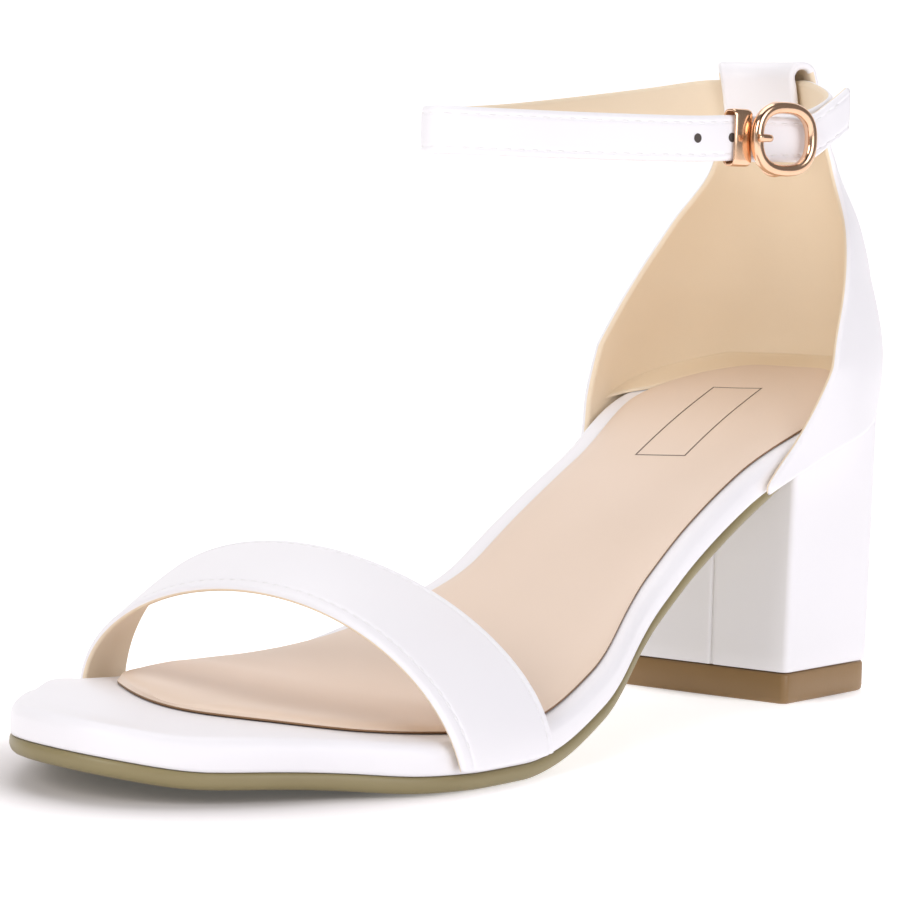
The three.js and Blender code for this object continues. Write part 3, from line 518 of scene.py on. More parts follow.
shoulder = [
    (PLATFORM_ROUND * (1 - math.cos(a)), platform_top - PLATFORM_ROUND * (1 - math.sin(a)))
    for a in np.linspace(0.12, math.pi / 2, 9)
]
wrap = [(3.0, 0), (0.8, 0), (0.3, 0.06), (0.06, 0.28), (0, 0.8), (-0.02, 2.0)] + shoulder
platform = plate(
    "platform_wrap", sole_edges, TOE_Y, HEEL_Y, platform_base, wrap, 22, [white_leather],
    steps=200, across=40, slot="white_leather",
    top_relief=lambda x, y, inset: forefoot_crown(y, x) * np.clip(inset / 3, 0, 1),
)
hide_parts("platform")

# The sock: a padded beige sheet that lies on the platform, set in from its edge, with a thin cut
# edge that shows brown. A plain blocked rectangle marks the heel seat.
INSOLE_START = TOE_Y + 25.3
INSOLE_END = HEEL_Y - 3.2
INSOLE_PUFF = 1.15
INSOLE_EDGE = 0.45
INSOLE_INSETS = (3.2, 5.6)

insole_leather, insole_shader, insole_tone, insole_bump = finish_of(
    "sock_leather", (0.82, 0.665, 0.545), (0.74, 0.585, 0.46), (0.36, 0.5), 1300, 0.00001, 22
)
edge_paint, _, _, _ = finish_of(
    "sock_edge", (0.3, 0.17, 0.09), (0.2, 0.11, 0.05), (0.6, 0.75), 2600, 0.00004
)


def insole_base(y, x=0.0):
    above = PLATFORM_THICKNESS + FIT_GAP / 2 - 0.25
    return platform_base(y, x) + above + forefoot_crown(y, x)


def insole_edges(y):
    """The sock's plan is the platform's, moved in by its own distance on each side."""
    share = (np.asarray(y, float) - INSOLE_START) / (INSOLE_END - INSOLE_START)
    cap = end_cap(share, 0.26, 2) * end_cap(1 - share, HEEL_CAP_SHARE, 2.2)
    end_y = HEEL_Y - HEEL_CAP_SHARE * SOLE_LENGTH
    outer, inner = sole_edges(np.minimum(y, end_y))
    outer, inner = outer - INSOLE_INSETS[0], inner + INSOLE_INSETS[1]
    middle = (outer + inner) / 2
    return middle + (outer - middle) * cap, middle + (inner - middle) * cap


def sock_relief(x, y, inset):
    """The padding: a crown that falls to the edges, and a shallow seat for the heel."""
    crown = INSOLE_PUFF * (1 - np.exp(-inset / 2.6)) + 0.3 * forefoot_crown(y, x)
    seat = 0.5 * np.exp(-((x / 13) ** 2) - ((y - 84) / 17) ** 2)
    return crown - seat * np.clip(inset / 6, 0, 1)


insole = plate(
    "insole_sock", insole_edges, INSOLE_START, INSOLE_END, insole_base,
    [(0.5, 0), (0, 0.02), (0, INSOLE_EDGE * 0.8), (0.12, INSOLE_EDGE)], 20,
    [insole_leather, edge_paint], steps=200, across=64, top_relief=sock_relief,
    paint_of=lambda row: 1 if row in (0, 1, -1) else 0, slot="insole_leather",
)
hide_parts("insole")

# The blocked rectangle on the sock, in its own axes: a thin line pressed in and stained dark
MARK_CENTRE = (0.5, 75.6)
MARK_HALF = (5.5, 16.7)
MARK_TURN = 0.1
MARK_LINE = 0.22
tree = insole_leather.node_tree
spot = add_node(tree, "ShaderNodeTexCoord")
mark_place = add_node(tree, "ShaderNodeMapping", {"vector_type": "TEXTURE"})
mark_place.inputs["Location"].default_value = (
    (MARK_CENTRE[0] + LAST_ORIGIN[0]) * MM,
    (MARK_CENTRE[1] + LAST_ORIGIN[1]) * MM,
    0,
)
mark_place.inputs["Rotation"].default_value = (0, 0, MARK_TURN)
tree.links.new(spot.outputs["Object"], mark_place.inputs["Vector"])
mark_axes = add_node(tree, "ShaderNodeSeparateXYZ", {}, _0=mark_place.outputs[0])
overs = []
for axis in (0, 1):
    size = add_node(tree, "ShaderNodeMath", {"operation": "ABSOLUTE"}, _0=mark_axes.outputs[axis])
    over = add_node(
        tree, "ShaderNodeMath", {"operation": "SUBTRACT", 1: MARK_HALF[axis] * MM},
        _0=size.outputs[0],
    )
    overs.append(over.outputs[0])
nearest = add_node(tree, "ShaderNodeMath", {"operation": "MAXIMUM"}, _0=overs[0], _1=overs[1])
distance = add_node(tree, "ShaderNodeMath", {"operation": "ABSOLUTE"}, _0=nearest.outputs[0])
line = add_node(
    tree, "ShaderNodeMapRange",
    {"interpolation_type": "SMOOTHSTEP", 1: MARK_LINE * 0.5 * MM, 2: MARK_LINE * MM, 3: 1, 4: 0},
    _0=distance.outputs[0],
)
stain = add_node(tree, "ShaderNodeMix", {"data_type": "RGBA"}, _0=line.outputs[0])
tree.links.new(insole_tone.outputs[2], stain.inputs[6])
stain.inputs[7].default_value = (0.09, 0.05, 0.03, 1)
tree.links.new(stain.outputs[2], insole_shader.inputs["Base Color"])
pressed = add_node(
    tree, "ShaderNodeBump", {"Strength": 1.0, "Distance": 0.00012, "invert": True},
    Height=line.outputs[0], Normal=insole_bump.outputs["Normal"],
)
tree.links.new(pressed.outputs["Normal"], insole_shader.inputs["Normal"])

# The heel: a moulded block covered in the same white leather, which is wrapped round from the
# back and meets in a seam down the front face, a little to the outer side of its middle.
BLOCK_BACK_Y = HEEL_Y - 3.3
BLOCK_FLOOR_HALF = 22.8
BLOCK_CORNER = 3.0
BLOCK_FRONT_CORNER = 1.4
LIFT_THICKNESS = 6.4
SEAM_WIDTH = 0.32
SEAM_DEPTH = 0.55


def block_plan(half, front, back):
    """The block's plan from the middle of its front, round the outer side, back to the front."""
    points = []
    corners = (
        (half - BLOCK_FRONT_CORNER, front + BLOCK_FRONT_CORNER, BLOCK_FRONT_CORNER, -90),
        (half - BLOCK_CORNER, back - BLOCK_CORNER, BLOCK_CORNER, 0),
        (BLOCK_CORNER - half, back - BLOCK_CORNER, BLOCK_CORNER, 90),
        (BLOCK_FRONT_CORNER - half, front + BLOCK_FRONT_CORNER, BLOCK_FRONT_CORNER, 180),
    )
    for x in np.linspace(0, half - BLOCK_FRONT_CORNER, 13)[:-1]:
        points.append((x, front))
    for cx, cy, radius, start in corners:
        for angle in np.radians(start + np.linspace(0, 90, 9)):
            points.append((cx + radius * math.cos(angle), cy + radius * math.sin(angle)))
        if start == -90:
            points += [(half, y) for y in np.linspace(front + 3, back - BLOCK_CORNER - 1, 9)]
        if start == 0:
            points += [(x, back) for x in np.linspace(half - 6, 6 - half, 11)]
        if start == 90:
            points += [(-half, y) for y in np.linspace(back - BLOCK_CORNER - 1, front + 3, 9)]
    for x in np.linspace(BLOCK_FRONT_CORNER - half, 0, 13)[1:]:
        points.append((x, front))
    return np.array(points)


def stack(name, sections, paint):
    """Skins plans at heights into a closed block; a height may be a function of y."""
    size = len(sections[0][0])
    points = []
    for plan, height in sections:
        z = height(plan[:, 1]) if callable(height) else np.full(size, float(height))
        points.append(np.column_stack([plan, z]))
    faces = tube_faces(len(sections), size)
    faces.append(tuple(range(size))[::-1])
    faces.append(tuple((len(sections) - 1) * size + j for j in range(size)))
    return make_piece(name, np.concatenate(points), faces, [paint], None)


def seat_height(y):
    return underside(y) + OUTSOLE_THICKNESS - 0.05


SEAM_PLACE = 4.6
seam_steps = np.concatenate([[-1.6, -0.8, -0.4], np.linspace(-0.2, 0.2, 5), [0.4, 0.8, 1.6]])


def block_section(share, shrink):
    half = BLOCK_FLOOR_HALF + (BLOCK_TOP_HALF - BLOCK_FLOOR_HALF) * share - shrink
    plan = block_plan(half, BREAST_Y + shrink, BLOCK_BACK_Y - shrink)
    fine = np.column_stack([seam_steps + SEAM_PLACE, np.full(len(seam_steps), BREAST_Y + shrink)])
    fine[:, 1] += SEAM_DEPTH * np.exp(-((seam_steps / SEAM_WIDTH) ** 2))
    front = np.abs(plan[:, 1] - BREAST_Y - shrink) < 0.05
    outer = plan[front & (plan[:, 0] > SEAM_PLACE + 1.7)]
    inner = plan[front & (plan[:, 0] < SEAM_PLACE - 1.7)]
    body = plan[~front]
    outer = outer[np.argsort(outer[:, 0])]
    inner = inner[np.argsort(inner[:, 0])]
    return np.concatenate([fine[seam_steps >= 0], outer, body, inner, fine[seam_steps < 0]])


levels = [(0.0, 0.5), (0.004, 0.18), (0.012, 0.0)] + [(s, 0.0) for s in np.linspace(0.08, 1, 14)]
sections = []
for share, shrink in levels:
    height = lambda y, s=share: LIFT_THICKNESS + (seat_height(y) - LIFT_THICKNESS) * s
    sections.append((block_section(share, shrink), height))
heel_block = stack("heel_cover", sections, white_leather)
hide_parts("heel_block")

# The top lift: a brown rubber piece under the heel block, with a soft bottom edge
lift_rubber, _, _, _ = finish_of(
    "brown_rubber", (0.33, 0.2, 0.085), (0.25, 0.145, 0.055), (0.34, 0.46), 1400, 0.00002
)
lift_sections = []
for height, shrink in ((0, 1.0), (0.18, 0.62), (0.5, 0.4), (1.2, 0.33), (5.7, 0.33), (6.1, 0.5)):
    plan = block_plan(BLOCK_FLOOR_HALF - shrink, BREAST_Y + shrink, BLOCK_BACK_Y - shrink)
    lift_sections.append((plan, height))
top_lift = stack("heel_lift", lift_sections, lift_rubber)
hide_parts("top_lift")

# The toe strap: one band of white leather lined in beige, folded and stitched along both edges,
# arched over the toes and cemented between the platform's sides and the outsole.
TOE_STRAP_WALL = 2.0
TOE_STRAP_RISE = (27.8, 33.1)
TOE_STRAP_LINE = (-50.4, -29.6)
TOE_STRAP_CLEARANCE = 0.7
TOE_STRAP_ROUND = 1.99
TOE_STRAP_CROWN = 3.6
TOE_STRAP_FOOT_LIFT = 0.9
TOE_LEATHER_WALL = 1.5
# Share across the strap from its front edge, then a value
OUTER_FOOT = [(0, -3.05), (0.5, -1.1), (1, 0.8)]
INNER_FOOT = [(0, 0.3), (0.5, -4.4), (1, -9)]
STRAP_FOOT = [(0, 3.9), (0.5, 4.2), (1, 4.5)]
STRAP_LEAN = [(0, -8.6), (0.5, -6.3), (1, -3.9)]
STRAP_SKEW = [(0, -0.15), (0.5, 0.065), (1, 0.28)]

lining, _, _, _ = finish_of(
    "beige_lining", (0.87, 0.74, 0.56), (0.81, 0.67, 0.49), (0.5, 0.62), 1500, 0.00002, 30
)
thread, _, _, _ = finish_of(
    "white_thread", (0.87, 0.86, 0.87), (0.8, 0.79, 0.8), (0.55, 0.7), 5000, 0.00003
)


def toe_strap_point(turn, across):
    power = 2 / TOE_STRAP_ROUND
    run = np.sign(np.cos(turn)) * np.abs(np.cos(turn)) ** power
    rise = np.abs(np.sin(turn)) ** power
    plain = (1 - run) / 2
    share = plain + reading(STRAP_SKEW, across) * plain * (1 - plain)
    line = TOE_STRAP_LINE[0] + (TOE_STRAP_LINE[1] - TOE_STRAP_LINE[0]) * across
    outer_y = line + reading(OUTER_FOOT, across)
    inner_y = line + reading(INNER_FOOT, across)
    reach = TOE_STRAP_CLEARANCE + TOE_STRAP_WALL / 2
    outer_x = sole_edges(outer_y)[0] + reach
    inner_x = sole_edges(inner_y)[1] - reach
    crown = TOE_STRAP_CROWN * across * (1 - across) * rise
    height = TOE_STRAP_RISE[0] + (TOE_STRAP_RISE[1] - TOE_STRAP_RISE[0]) * across + crown
    outer_z, inner_z = underside(outer_y, outer_x), underside(inner_y, inner_x)
    foot = outer_z + (inner_z - outer_z) * share + reading(STRAP_FOOT, across)
    foot = foot + TOE_STRAP_FOOT_LIFT * (1 - rise) ** 3
    return np.stack(
        [
            outer_x + (inner_x - outer_x) * share,
            outer_y + (inner_y - outer_y) * share + reading(STRAP_LEAN, across) * rise,
            foot + height * rise - TOE_STRAP_WALL / 2,
        ],
        -1,
    )


def sheet_frames(grid):
    """Unit normals of a grid of points, rows by columns."""
    along = np.gradient(grid, axis=0)
    across = np.gradient(grid, axis=1)
    normal = np.cross(along, across)
    return normal / np.maximum(np.linalg.norm(normal, axis=2, keepdims=True), 1e-9)


def edge_distance(width, grooves=(), fine=0.5):
    """Places across a band in millimetres, close together at its edges and its stitch lines."""
    near = [0, 0.06, 0.18, 0.36, 0.6, 0.9, 1.2]
    places = set(near) | {width - d for d in near} | set(np.arange(1.5, width - 1.4, fine))
    for groove in grooves:
        places |= {groove + d for d in (-0.5, -0.3, -0.15, 0, 0.15, 0.3, 0.5)}
    return np.array(sorted(places))


def band(name, grid, places, wall, paints, relief):
    """A lined band: a rounded wall on both sides of a grid whose columns lie at the places."""
    normal = sheet_frames(grid)
    width = places[-1]
    edge = np.minimum(places, width - places)
    radius = wall / 2
    fall = np.clip(1 - edge / radius, 0, 1)
    half = radius * np.sqrt(np.clip(1 - fall**2, 0, 1))
    lift = half + relief
    outer = grid + normal * lift[None, :, None]
    inner = (grid - normal * half[None, :, None])[:, ::-1][:, 1:-1]
    loops = np.concatenate([outer, inner], axis=1)
    rows, size = loops.shape[:2]
    outer_count = len(places) - 1
    faces = tube_faces(rows, size)
    face_paints = [0 if j < outer_count else 1 for _ in range(rows - 1) for j in range(size)]
    for first in (0, (rows - 1) * size):
        for j in range(outer_count):
            a, b = first + j, first + j + 1
            c, d = first + (size - j - 1) % size, first + (size - j) % size
            faces.append((a, b, c, d) if j else (a, b, c))
            face_paints.append(0)
    return make_piece(name, loops.reshape(-1, 3), faces, paints, face_paints)


def stitches(name, path, normal, length, pitch, radius, sink):
    """A row of thread stitches along a path on a surface, each a small spindle half sunk in."""
    steps = np.linalg.norm(np.diff(path, axis=0), axis=1)
    run = np.concatenate([[0], np.cumsum(steps)])
    at = lambda data, s: np.array([np.interp(s, run, data[:, k]) for k in range(3)])
    points, faces = [], []
    profile = [(0.0, 0.15), (0.12, 0.7), (0.35, 1.0), (0.65, 1.0), (0.88, 0.7), (1.0, 0.15)]
    for start in np.arange(pitch * 0.4, run[-1] - length, pitch):
        first = len(points)
        for share, swell in profile:
            s = start + length * share
            centre, up = at(path, s), at(normal, s)
            along = at(path, s + 0.2) - at(path, s - 0.2)
            along /= np.linalg.norm(along)
            side = np.cross(along, up)
            side /= np.linalg.norm(side)
            up = np.cross(side, along)
            centre = centre + up * (radius * (0.55 * swell - 0.45) - sink)
            for angle in np.linspace(0, 2 * np.pi, 7)[:-1]:
                ring = side * math.cos(angle) * 1.15 + up * math.sin(angle)
                points.append(centre + ring * radius * swell)
        for k in range(len(profile) - 1):
            for j in range(6):
                n = (j + 1) % 6
                a, b = first + k * 6, first + (k + 1) * 6
                faces.append((a + j, a + n, b + n, b + j))
        faces.append(tuple(first + j for j in range(6))[::-1])
        faces.append(tuple(first + 30 + j for j in range(6)))
    return make_piece(name, points, faces, [thread])


def stitch_relief(places, grooves, depth=0.16):
    """The dent that a row of stitches pulls into the leather, and the soft rolls beside it."""
    relief = np.zeros(len(places))
    for groove in grooves:
        relief -= depth * np.exp(-(((places - groove) / 0.32) ** 2))
    return relief


TOE_STRAP_WIDTH = 20.5
TOE_STRAP_SEAMS = (2.1, TOE_STRAP_WIDTH - 1.4)
places = edge_distance(TOE_STRAP_WIDTH, TOE_STRAP_SEAMS)
turns = np.linspace(0, np.pi, 181)
grid = np.stack([toe_strap_point(turns, p / TOE_STRAP_WIDTH) for p in places], 1)[::-1]
relief = stitch_relief(places, TOE_STRAP_SEAMS)
toe_strap = band("toe_band", grid, places, TOE_LEATHER_WALL, [white_leather, lining], relief)
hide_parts("toe_strap")
normals = sheet_frames(grid)
for label, seam in zip(("front", "back"), TOE_STRAP_SEAMS):
    column = int(np.argmin(np.abs(places - seam)))
    height = TOE_LEATHER_WALL / 2 + relief[column]
    row = grid[:, column] + normals[:, column] * height
    stitches(f"toe_band_stitches_{label}", row[4:-4], normals[4:-4, column], 1.7, 2.5, 0.2, 0.06)

# The counter: white leather over a beige lining, moulded round the heel outside the platform,
# its top end folded in over itself and stitched down into a tunnel for the ankle strap.
UPPER_HEIGHT = 130.2
WALL = 1.6
STRAP_WALL = 1.8
TUNNEL_LENGTH = 12.5
TUNNEL_RADIUS = (STRAP_WALL + WALL) / 2 + 0.75
TUNNEL_TOP = UPPER_HEIGHT - TUNNEL_RADIUS - WALL / 2
# How many faces at each end of the folded tunnel show white leather instead of the lining
FOLD_RIM = 6
# Height as a share of the upper's; half width and a sideways shift as shares of the ball's half
# width; how far the back and the two front edges lie behind the heel's front face, as shares of
# the heel seat's length; half angle of the back's arc
COUNTER_TABLE = [
    (0.347, 0.727, 0, 1.071, -0.43, -0.06, 90),
    (0.377, 0.726, 0, 1.073, -0.325, -0.04, 90),
    (0.406, 0.724, 0, 1.075, -0.22, -0.01, 90),
    (0.446, 0.721, 0, 1.08, -0.105, 0.01, 90),
    (0.505, 0.712, 0, 1.135, 0.035, 0.1, 90),
    (0.565, 0.68, 0, 1.175, 0.145, 0.22, 90),
    (0.644, 0.617, 0, 1.159, 0.335, 0.385, 90),
    (0.733, 0.514, 0, 1.108, 0.52, 0.56, 84),
    (0.827, 0.353, 0, 0.974, 0.665, 0.68, 72),
    (0.912, 0.287, -0.02, 0.813, 0.689, 0.689, 52),
    (1, 0.272, -0.04, 0.728, 0.628, 0.628, 44),
]
COUNTER_COLUMNS = {
    label: [(row[0], row[k + 1]) for row in COUNTER_TABLE]
    for k, label in enumerate(("half", "aside", "back", "outer", "inner", "arc"))
}
SEAT_LENGTH = HEEL_Y - BREAST_Y
COUNTER_ROUND = 0.795
COUNTER_HUG = 1.5
section_store = {}


def counter_section(z):
    """The counter's middle surface at a height, as arc length and plan points from outer edge."""
    key = round(float(z), 3)
    if key not in section_store:
        cell = {k: float(reading(t, key / UPPER_HEIGHT)) for k, t in COUNTER_COLUMNS.items()}
        half = BALL_HALF_WIDTH * cell["half"]
        aside = BALL_HALF_WIDTH * cell["aside"]
        back = BREAST_Y + SEAT_LENGTH * cell["back"]
        arc = math.radians(cell["arc"])
        branches = []
        for side, label in ((1, "outer"), (-1, "inner")):
            front = BREAST_Y + SEAT_LENGTH * cell[label]
            depth = min(SEAT_LENGTH * COUNTER_ROUND, back - front)
            edge = abs(float(sole_edges(front)[0 if side > 0 else 1]))
            hugging = min(half, edge + COUNTER_HUG)
            angle = arc * (1 - np.arange(25) / 24)
            x = side * half * np.sin(angle) / math.sin(arc)
            y = back - depth * (1 - np.cos(angle)) / (1 - math.cos(arc))
            x = np.r_[side * hugging, x] + aside
            branches.append(np.column_stack([x, np.r_[front, y]]))
        path = np.concatenate([branches[0], branches[1][::-1][1:]])
        run = np.concatenate([[0], np.cumsum(np.linalg.norm(np.diff(path, axis=0), axis=1))])
        section_store[key] = (run / run[-1], path)
    return section_store[key]


def counter_at(share, z):
    run, path = counter_section(z)
    return np.array([np.interp(share, run, path[:, 0]), np.interp(share, run, path[:, 1]), z])


def counter_frame(share, z):
    """A point of the counter's middle surface, the way inwards and the way up along it."""
    along = counter_at(min(share + 0.02, 1), z) - counter_at(max(share - 0.02, 0), z)
    up = counter_at(share, z + 1) - counter_at(share, z - 1)
    up /= np.linalg.norm(up)
    inside = np.cross(up, along)
    inside /= np.linalg.norm(inside)
    return counter_at(share, z), inside, up


def counter_seat(y):
    return platform_base(y) + FIT_GAP


columns = np.concatenate([[0, 0.003, 0.008, 0.015, 0.025], np.linspace(0.04, 0.96, 75)])
columns = np.concatenate([columns, [0.975, 0.985, 0.992, 0.997, 1]])
foot_heights = []
for share in columns:
    low = UPPER_HEIGHT * 0.4
    for _ in range(12):
        low = (low + float(counter_seat(counter_at(share, low)[1]))) / 2
    foot_heights.append(low)
rows = []
rise_steps = np.concatenate([[0, 0.004, 0.01, 0.02], np.linspace(0.035, 1, 64)])
for rise in rise_steps:
    row = []
    for share, low in zip(columns, foot_heights):
        row.append(counter_at(share, low + (TUNNEL_TOP - low) * rise))
    rows.append(row)
rim_frames = [counter_frame(share, TUNNEL_TOP) for share in columns]
for angle in np.linspace(0, math.pi, 13)[1:]:
    turn_in = TUNNEL_RADIUS * (1 - math.cos(angle))
    turn_up = TUNNEL_RADIUS * math.sin(angle)
    rows.append([p + inside * turn_in + up * turn_up for p, inside, up in rim_frames])
for k in range(1, 9):
    z = TUNNEL_TOP - (k / 8) * TUNNEL_LENGTH
    row = []
    for share, (top, top_inside, _) in zip(columns, rim_frames):
        point, inside, _ = counter_frame(share, z)
        seat = point + inside * 2 * TUNNEL_RADIUS
        drop = top + top_inside * 2 * TUNNEL_RADIUS
        seat[0] += (drop[0] - seat[0]) * min(0.8, 0.8 * k / 4)
        row.append(seat)
    rows.append(row)
grid = np.array(rows)


def shell(name, grid, wall, paints):
    """A lined wall on a grid, rounded at all four of its edges."""
    normal = -sheet_frames(grid)
    reach = np.linalg.norm(np.diff(grid, axis=1), axis=2)
    across = np.concatenate([np.zeros((len(grid), 1)), np.cumsum(reach, axis=1)], axis=1)
    side = np.minimum(across, across[:, -1:] - across)
    climb = np.linalg.norm(np.diff(grid, axis=0), axis=2)
    up = np.concatenate([np.zeros((1, grid.shape[1])), np.cumsum(climb, axis=0)], axis=0)
    edge = np.minimum(side, np.minimum(up, up[-1:] - up))
    fall = np.clip(1 - edge / (wall / 2), 0, 1)
    half = (wall / 2) * np.sqrt(np.clip(1 - fall**2, 0, 1))
    outer = (grid + normal * half[..., None]).reshape(-1, 3)
    inner = (grid - normal * half[..., None]).reshape(-1, 3)
    count, size = grid.shape[:2]
    faces, face_paints = [], []
    for i in range(count - 1):
        for j in range(size - 1):
            quad = (i * size + j, i * size + j + 1, (i + 1) * size + j + 1, (i + 1) * size + j)
            faces += [quad, tuple(len(outer) + q for q in quad[::-1])]
            folded = i >= len(rise_steps) and not FOLD_RIM <= j < size - FOLD_RIM - 1
            face_paints += [0, 0 if folded else 1]
    return make_piece(name, np.concatenate([outer, inner]), faces, paints, face_paints)


counter = shell("heel_counter", grid, WALL, [white_leather, lining])
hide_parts("counter")

# The lining's foot: the counter's beige lining turns in over the platform's shelf to the sock
FOOT_STARTS = (0.045, 0.07)
FOOT_EASE = 0.1
sock_line_y = INSOLE_START + (INSOLE_END - INSOLE_START) * np.sin(np.linspace(0.9, np.pi / 2, 160))
sock_line = np.concatenate(
    [np.stack([edge, sock_line_y], 1) for edge in insole_edges(sock_line_y)]
)
hem_rows = []
for share in np.linspace(FOOT_STARTS[0], 1 - FOOT_STARTS[1], 130):
    height = float(insole_base(counter_at(share, UPPER_HEIGHT * 0.5)[1]))
    for _ in range(8):
        height = float(insole_base(min(counter_at(share, height)[1], HEEL_Y))) + 0.4
    near = min(share - FOOT_STARTS[0], 1 - FOOT_STARTS[1] - share) / FOOT_EASE
    near = ease(float(np.clip(near, 0, 1)))
    wall, inside, _ = counter_frame(share, height)
    wall = wall + inside * (WALL / 2 + 0.02)
    reach = np.linalg.norm(sock_line - wall[:2], axis=1)
    sock = np.append(sock_line[int(np.argmin(reach))], 0)
    sock += inside * 0.8
    sock[2] = float(insole_base(min(sock[1], HEEL_Y))) + 0.62
    sock = wall + (sock - wall) * near
    high, high_inside, _ = counter_frame(share, height + 1.1 * near + 0.1)
    top = high + high_inside * (WALL / 2 + 0.04)
    elbow = wall + (sock - wall) * 0.12 + np.array([0, 0, 0.15])
    row = [top - high_inside * 0.3]
    row += [(1 - t) ** 2 * top + 2 * t * (1 - t) * elbow + t**2 * sock for t in np.linspace(0, 1, 10)]
    row.append(sock - np.array([0, 0, 0.6]))
    hem_rows.append(row)
hem_grid = np.array(hem_rows)
size = hem_grid.shape[1]
hem_faces = []
for i in range(len(hem_grid) - 1):
    for j in range(size - 1):
        quad = (i * size + j, i * size + j + 1, (i + 1) * size + j + 1, (i + 1) * size + j)
        hem_faces.append(quad)
make_piece("counter_lining_foot", hem_grid.reshape(-1, 3), hem_faces, [lining])

# The ankle strap: one long strip of the same leather, lined and stitched near both edges. It
# runs from the buckle's bar through the tunnel, round the ankle and back through the buckle.
STRAP_WIDTH = 8.8
STRAP_REACH = 117.7
STRAP_TUNNEL_DROP = 8.2
STRAP_FRONT_DROP = 20.1
BUCKLE_LENGTH = 16.2
BUCKLE_HEIGHT = 14.6
BUCKLE_WIRE = 1.25
BAR_RADIUS = 1.0
BUCKLE_AHEAD = 12.3
BUCKLE_DROP = 17.8
BUCKLE_CENTRE = np.array([23.0, BREAST_Y - BUCKLE_AHEAD, UPPER_HEIGHT - BUCKLE_DROP])
BUCKLE_ALONG = np.array([0.3, 0.954, 0]) / math.hypot(0.3, 0.954)
BUCKLE_OUT = np.array([BUCKLE_ALONG[1], -BUCKLE_ALONG[0], 0])
UP = np.array([0.0, 0.0, 1.0])
BAR_DEPTH = STRAP_WALL / 2 + FIT_GAP + BAR_RADIUS
SHORT_DEPTH = BAR_DEPTH + BAR_RADIUS + FIT_GAP + STRAP_WALL / 2
# Round the inner side and the front: sideways, behind the foremost point, and up
STRAP_FRONT_RUN = [
    (-18.6, 90, 8.9), (-20.6, 66, 5.9), (-18.6, 40, 3.3), (-13.2, 16, 1.7), (-9.4, 4.2, 1.3),
    (-6.2, 0.3, 1.2), (-2.6, 1.4, 1.2), (1.4, 9.6, 1.2), (8.6, 30, 1.3),
]


def at_buckle(along, out, up):
    return BUCKLE_CENTRE + BUCKLE_ALONG * along + BUCKLE_OUT * out + UP * up


def smooth_path(points, per_span):
    """A centripetal Catmull-Rom curve through the points."""
    points = np.asarray(points, float)
    ring = np.concatenate([[2 * points[0] - points[1]], points, [2 * points[-1] - points[-2]]])
    path = []
    for i in range(1, len(ring) - 2):
        a, b, c, d = ring[i - 1 : i + 3]
        knots = [0.0]
        for p, q in ((a, b), (b, c), (c, d)):
            knots.append(knots[-1] + max(np.linalg.norm(q - p), 1e-9) ** 0.5)
        for t in np.linspace(knots[1], knots[2], per_span, endpoint=False):
            blend = lambda p, q, m, n: (p * (knots[n] - t) + q * (t - knots[m])) / (knots[n] - knots[m])
            ab, bc, cd = blend(a, b, 0, 1), blend(b, c, 1, 2), blend(c, d, 2, 3)
            path.append(blend(blend(ab, bc, 0, 2), blend(bc, cd, 1, 3), 1, 2))
    path.append(ring[-2])
    return np.array(path)


run = []
for along, out, up in ((-3.5, 0, 0), (3, 0, 0.1), (12, -0.4, 1.6), (19.8, -2.3, 4.8)):
    run.append((at_buckle(along, out - SHORT_DEPTH, up), UP))
middle = UPPER_HEIGHT - STRAP_TUNNEL_DROP
point, inside, up = counter_frame(0, middle)
run.append((point + inside * TUNNEL_RADIUS + np.array([2.6, -1.6, -0.6]), up))
for share in (0.06, 0.28, 0.5, 0.72, 0.94):
    point, inside, up = counter_frame(share, middle)
    run.append((point + inside * TUNNEL_RADIUS, up))
point, inside, up = counter_frame(1, middle)
run.append((point + inside * TUNNEL_RADIUS + np.array([-2.6, -2, -0.3]), up))
for side, behind, rise in STRAP_FRONT_RUN:
    front = BLOCK_BACK_Y - STRAP_REACH + behind
    run.append((np.array([side, front, UPPER_HEIGHT - STRAP_FRONT_DROP + rise]), UP))
# Past the buckle the free end rises to the tail's tip
for along, out, up in (
    (-20, 0.2, -0.6), (-10, 0, -0.1), (0, 0, 0), (9, 0, 0.6), (14.5, -0.5, 3.4), (20.4, -2.0, 6.6),
):
    run.append((at_buckle(along, out, up), UP))
edges = [
    smooth_path([centre + lean * side * STRAP_WIDTH / 2 for centre, lean in run], 14)
    for side in (-1, 1)
]
STRAP_SEAMS = (1.35, STRAP_WIDTH - 1.35)
places = edge_distance(STRAP_WIDTH, STRAP_SEAMS, 0.6)
grid = np.stack([edges[0] + (edges[1] - edges[0]) * (p / STRAP_WIDTH) for p in places], 1)
relief = stitch_relief(places, STRAP_SEAMS, 0.14)
puff = 0.12 * np.sin(np.pi * places / STRAP_WIDTH)
ankle_strap = band(
    "ankle_strap_leather", grid, places, STRAP_WALL, [white_leather, lining], relief + puff
)
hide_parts("ankle_strap")
normals = sheet_frames(grid)
for label, seam in zip(("low", "high"), STRAP_SEAMS):
    column = int(np.argmin(np.abs(places - seam)))
    height = STRAP_WALL / 2 + (relief + puff)[column]
    row = grid[:, column] + normals[:, column] * height
    stitches(f"ankle_strap_stitches_{label}", row[3:-3], normals[3:-3, column], 1.9, 3.0, 0.2, 0.05)

